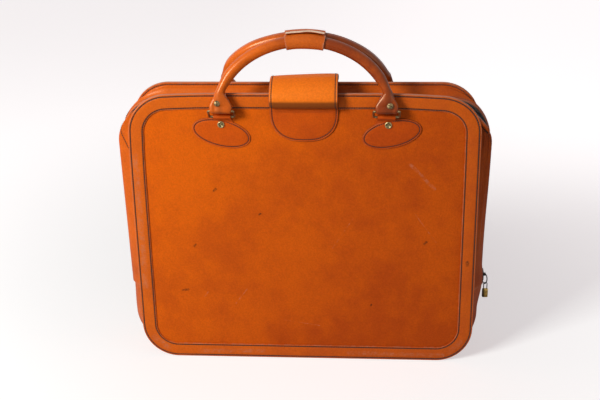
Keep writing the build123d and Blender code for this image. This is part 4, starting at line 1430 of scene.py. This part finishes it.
def board(side):
    """The stiff board behind a panel: a slab with softened edges, 6 in from the panel's outline."""
    near = -LEATHER - 0.05
    far, middle = near - BOARD_THICKNESS, near - BOARD_THICKNESS / 2
    rows = ((14.0, far), (6.8, far), (6.2, far + 0.3), (6.0, middle),
            (6.2, near - 0.3), (6.8, near), (14.0, near))
    points = np.stack([panel(side, *panel_outline(inset, INSIDE_PITCH).T, n) for inset, n in rows], 1)
    pile = Pile()
    flip = side > 0
    start = pile.grid(points, wrap_u=True, flip=flip)
    for ring, n, turned in ((len(rows) - 1, near, flip), (0, far, not flip)):
        pile.fan(start + ring, len(points), panel(side, *PANEL_MIDDLE, n), flip=turned, stride=len(rows))
    pile.build(f"{WORD[side]}_stiff_board", BOARD, SHELL[side], [f"{WORD[side]}_board"])


def catch_cover():
    """The catch's leather cover: a wedge of four corners, smoothed, carried across and closed in."""
    low, high = solid_box("catch_wedge")
    corners = np.array([(low[1], low[2]), (high[1], high[2] - 2.2), (high[1], high[2]), (low[1], high[2])])
    t = np.linspace(0, 1, 12, endpoint=False)[:, None]
    loop = np.concatenate([a + (b - a) * t for a, b in zip(corners, np.roll(corners, -1, 0))])
    for _ in range(5):
        loop = 0.25 * np.roll(loop, 1, 0) + 0.5 * loop + 0.25 * np.roll(loop, -1, 0)
    shrink = np.array([0.84, 0.94, 0.985, 1.0, 1.0, 1.0, 0.985, 0.94, 0.84])[:, None, None]
    across = np.array([0.0, 0.2, 0.7, 1.6, 14.0, 26.4, 27.3, 27.8, 28.0]) / 28.0
    x = low[0] + across * (high[0] - low[0])
    centre = loop.mean(0)
    yz = centre + (loop - centre) * shrink
    points = np.concatenate([np.broadcast_to(x[:, None, None], yz.shape[:2] + (1,)), yz], -1)
    pile = Pile()
    start = pile.grid(points, wrap_v=True, flip=True)
    pile.fan(start, len(loop), (x[0], *centre), flip=True)
    pile.fan(start + 8 * len(loop), len(loop), (x[-1], *centre))
    pile.build("catch_cover", STRAP_LEATHER, "rear_shell", ["catch_wedge"])


for side in (FRONT, REAR):
    board(side)
    lining(side)
catch_cover()

finishes = {
    "front_rings": DULL_BRASS, "rear_rings": DULL_BRASS, "catch_plate": STEEL, "strap_magnet": STEEL,
    "zip_slider": ZIP_METAL, "padlock_shackle": DARK_STEEL,
}
for node, finish in finishes.items():
    for holder in frame["nodes"][node].material_slots:
        holder.material = finish


# Floor, light and camera, in metres
FILL = 0.13
FLOOR_GLOW = 0.55
FLOOR_HALF = 8
LIT = np.array([0.0, 0.0, 0.2])


def floor():
    """A pale floor: one wide flat square that keeps the shadow near the case and is white further out."""
    mesh = bpy.data.meshes.new("floor")
    corners = [(x * FLOOR_HALF, y * FLOOR_HALF, 0) for x, y in ((-1, -1), (1, -1), (1, 1), (-1, 1))]
    mesh.from_pydata(corners, [], [(0, 1, 2, 3)])
    made, net, shader = new_material("pale_floor")
    place = net.place()
    cloud = net.ramp(net.noise(place, 1.2, 2.0), 0.3, 0.7)
    seen = net.node("ShaderNodeLightPath").outputs["Is Camera Ray"]
    pale = net.mix(cloud, (0.60, 0.585, 0.595, 1), (0.63, 0.615, 0.625, 1))
    net.feed(shader.inputs["Base Color"], net.mix(seen, pale, (0.56, 0.60, 0.60, 1)))
    shader.inputs["Roughness"].default_value = 0.9
    shader.inputs["Specular IOR Level"].default_value = 0.1
    away = net.node("ShaderNodeVectorMath", {0: place}, operation="LENGTH").outputs["Value"]
    shader.inputs["Emission Color"].default_value = (1.0, 0.935, 0.94, 1)
    split = net.node("ShaderNodeSeparateXYZ", {0: place})
    aside = net.ramp(split.outputs[0], -0.5, 0.5, -0.07, 0.05)
    far = net.math("ADD", net.ramp(away, 1.6, 4.5, 0.0, 0.13), aside)
    glow = net.math("MULTIPLY", net.math("ADD", net.ramp(away, 0.2, 1.1, FLOOR_GLOW, 0.82), far), seen)
    net.feed(shader.inputs["Emission Strength"], glow)
    mesh.materials.append(made)
    put("floor", mesh)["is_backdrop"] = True


def aim(thing, place, right, up, back):
    """Places a lamp or the camera and turns it by its own three directions."""
    rows = np.eye(4)
    rows[:3] = np.stack([right, up, back, place], -1)
    thing.matrix_world = Matrix(rows.tolist())


def softbox(name, place, size, power, colour):
    """A square lamp at a place, turned to the middle of the case."""
    lamp = bpy.data.lights.new(name, "AREA")
    lamp.shape, lamp.size, lamp.energy, lamp.color = "SQUARE", size, power, colour
    back = unit(np.array(place) - LIT)
    right = unit(np.cross([0.0, 0.0, 1.0], back))
    aim(put(name, lamp), place, right, np.cross(back, right), back)


def world():
    """White round about: plain fill for the object, full white for the camera and for reflections."""
    made = bpy.data.worlds.new("studio")
    made.use_nodes = True
    net = Net(made.node_tree)
    ground = made.node_tree.nodes["Background"]
    path = net.node("ShaderNodeLightPath")
    seen = net.math("MAXIMUM", path.outputs["Is Camera Ray"], path.outputs["Is Glossy Ray"])
    seen = net.math("MAXIMUM", seen, path.outputs["Is Transmission Ray"])
    net.feed(ground.inputs["Color"], net.mix(seen, (0.95, 0.95, 1.0, 1), (0.935, 0.915, 0.93, 1)))
    net.feed(ground.inputs["Strength"], net.math("MULTIPLY_ADD", seen, 1.0 - FILL, FILL))
    bpy.context.scene.world = made


def camera():
    """The photograph's view: 62 mm lens, 25.5 degrees down, from a little right of the middle."""
    yaw, pitch, roll = math.radians(4.366), math.radians(25.51), -0.0242
    right = np.array([math.cos(yaw), math.sin(yaw), 0.0])
    ahead = np.array([-math.sin(yaw) * math.cos(pitch), math.cos(yaw) * math.cos(pitch), -math.sin(pitch)])
    up = np.cross(right, ahead)
    turned = right * math.cos(roll) + up * math.sin(roll)
    upright = -right * math.sin(roll) + up * math.cos(roll)
    data = bpy.data.cameras.new("camera")
    data.lens, data.sensor_width = 62.18, 36.0
    data.clip_start, data.clip_end = 0.05, 60.0
    thing = put("camera", data)
    aim(thing, np.array([84.8, -1270.2, 830.2]) * MM, turned, upright, -ahead)
    bpy.context.scene.camera = thing


floor()
world()
softbox("key", (-1.25, -1.15, 1.30), size=0.62, power=40.0, colour=(1.0, 0.975, 0.94))
softbox("fill", (2.3, -0.9, 0.7), size=1.4, power=6.0, colour=(1.0, 0.96, 0.95))
camera()
bpy.context.scene.view_settings.view_transform = "Standard"

low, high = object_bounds()
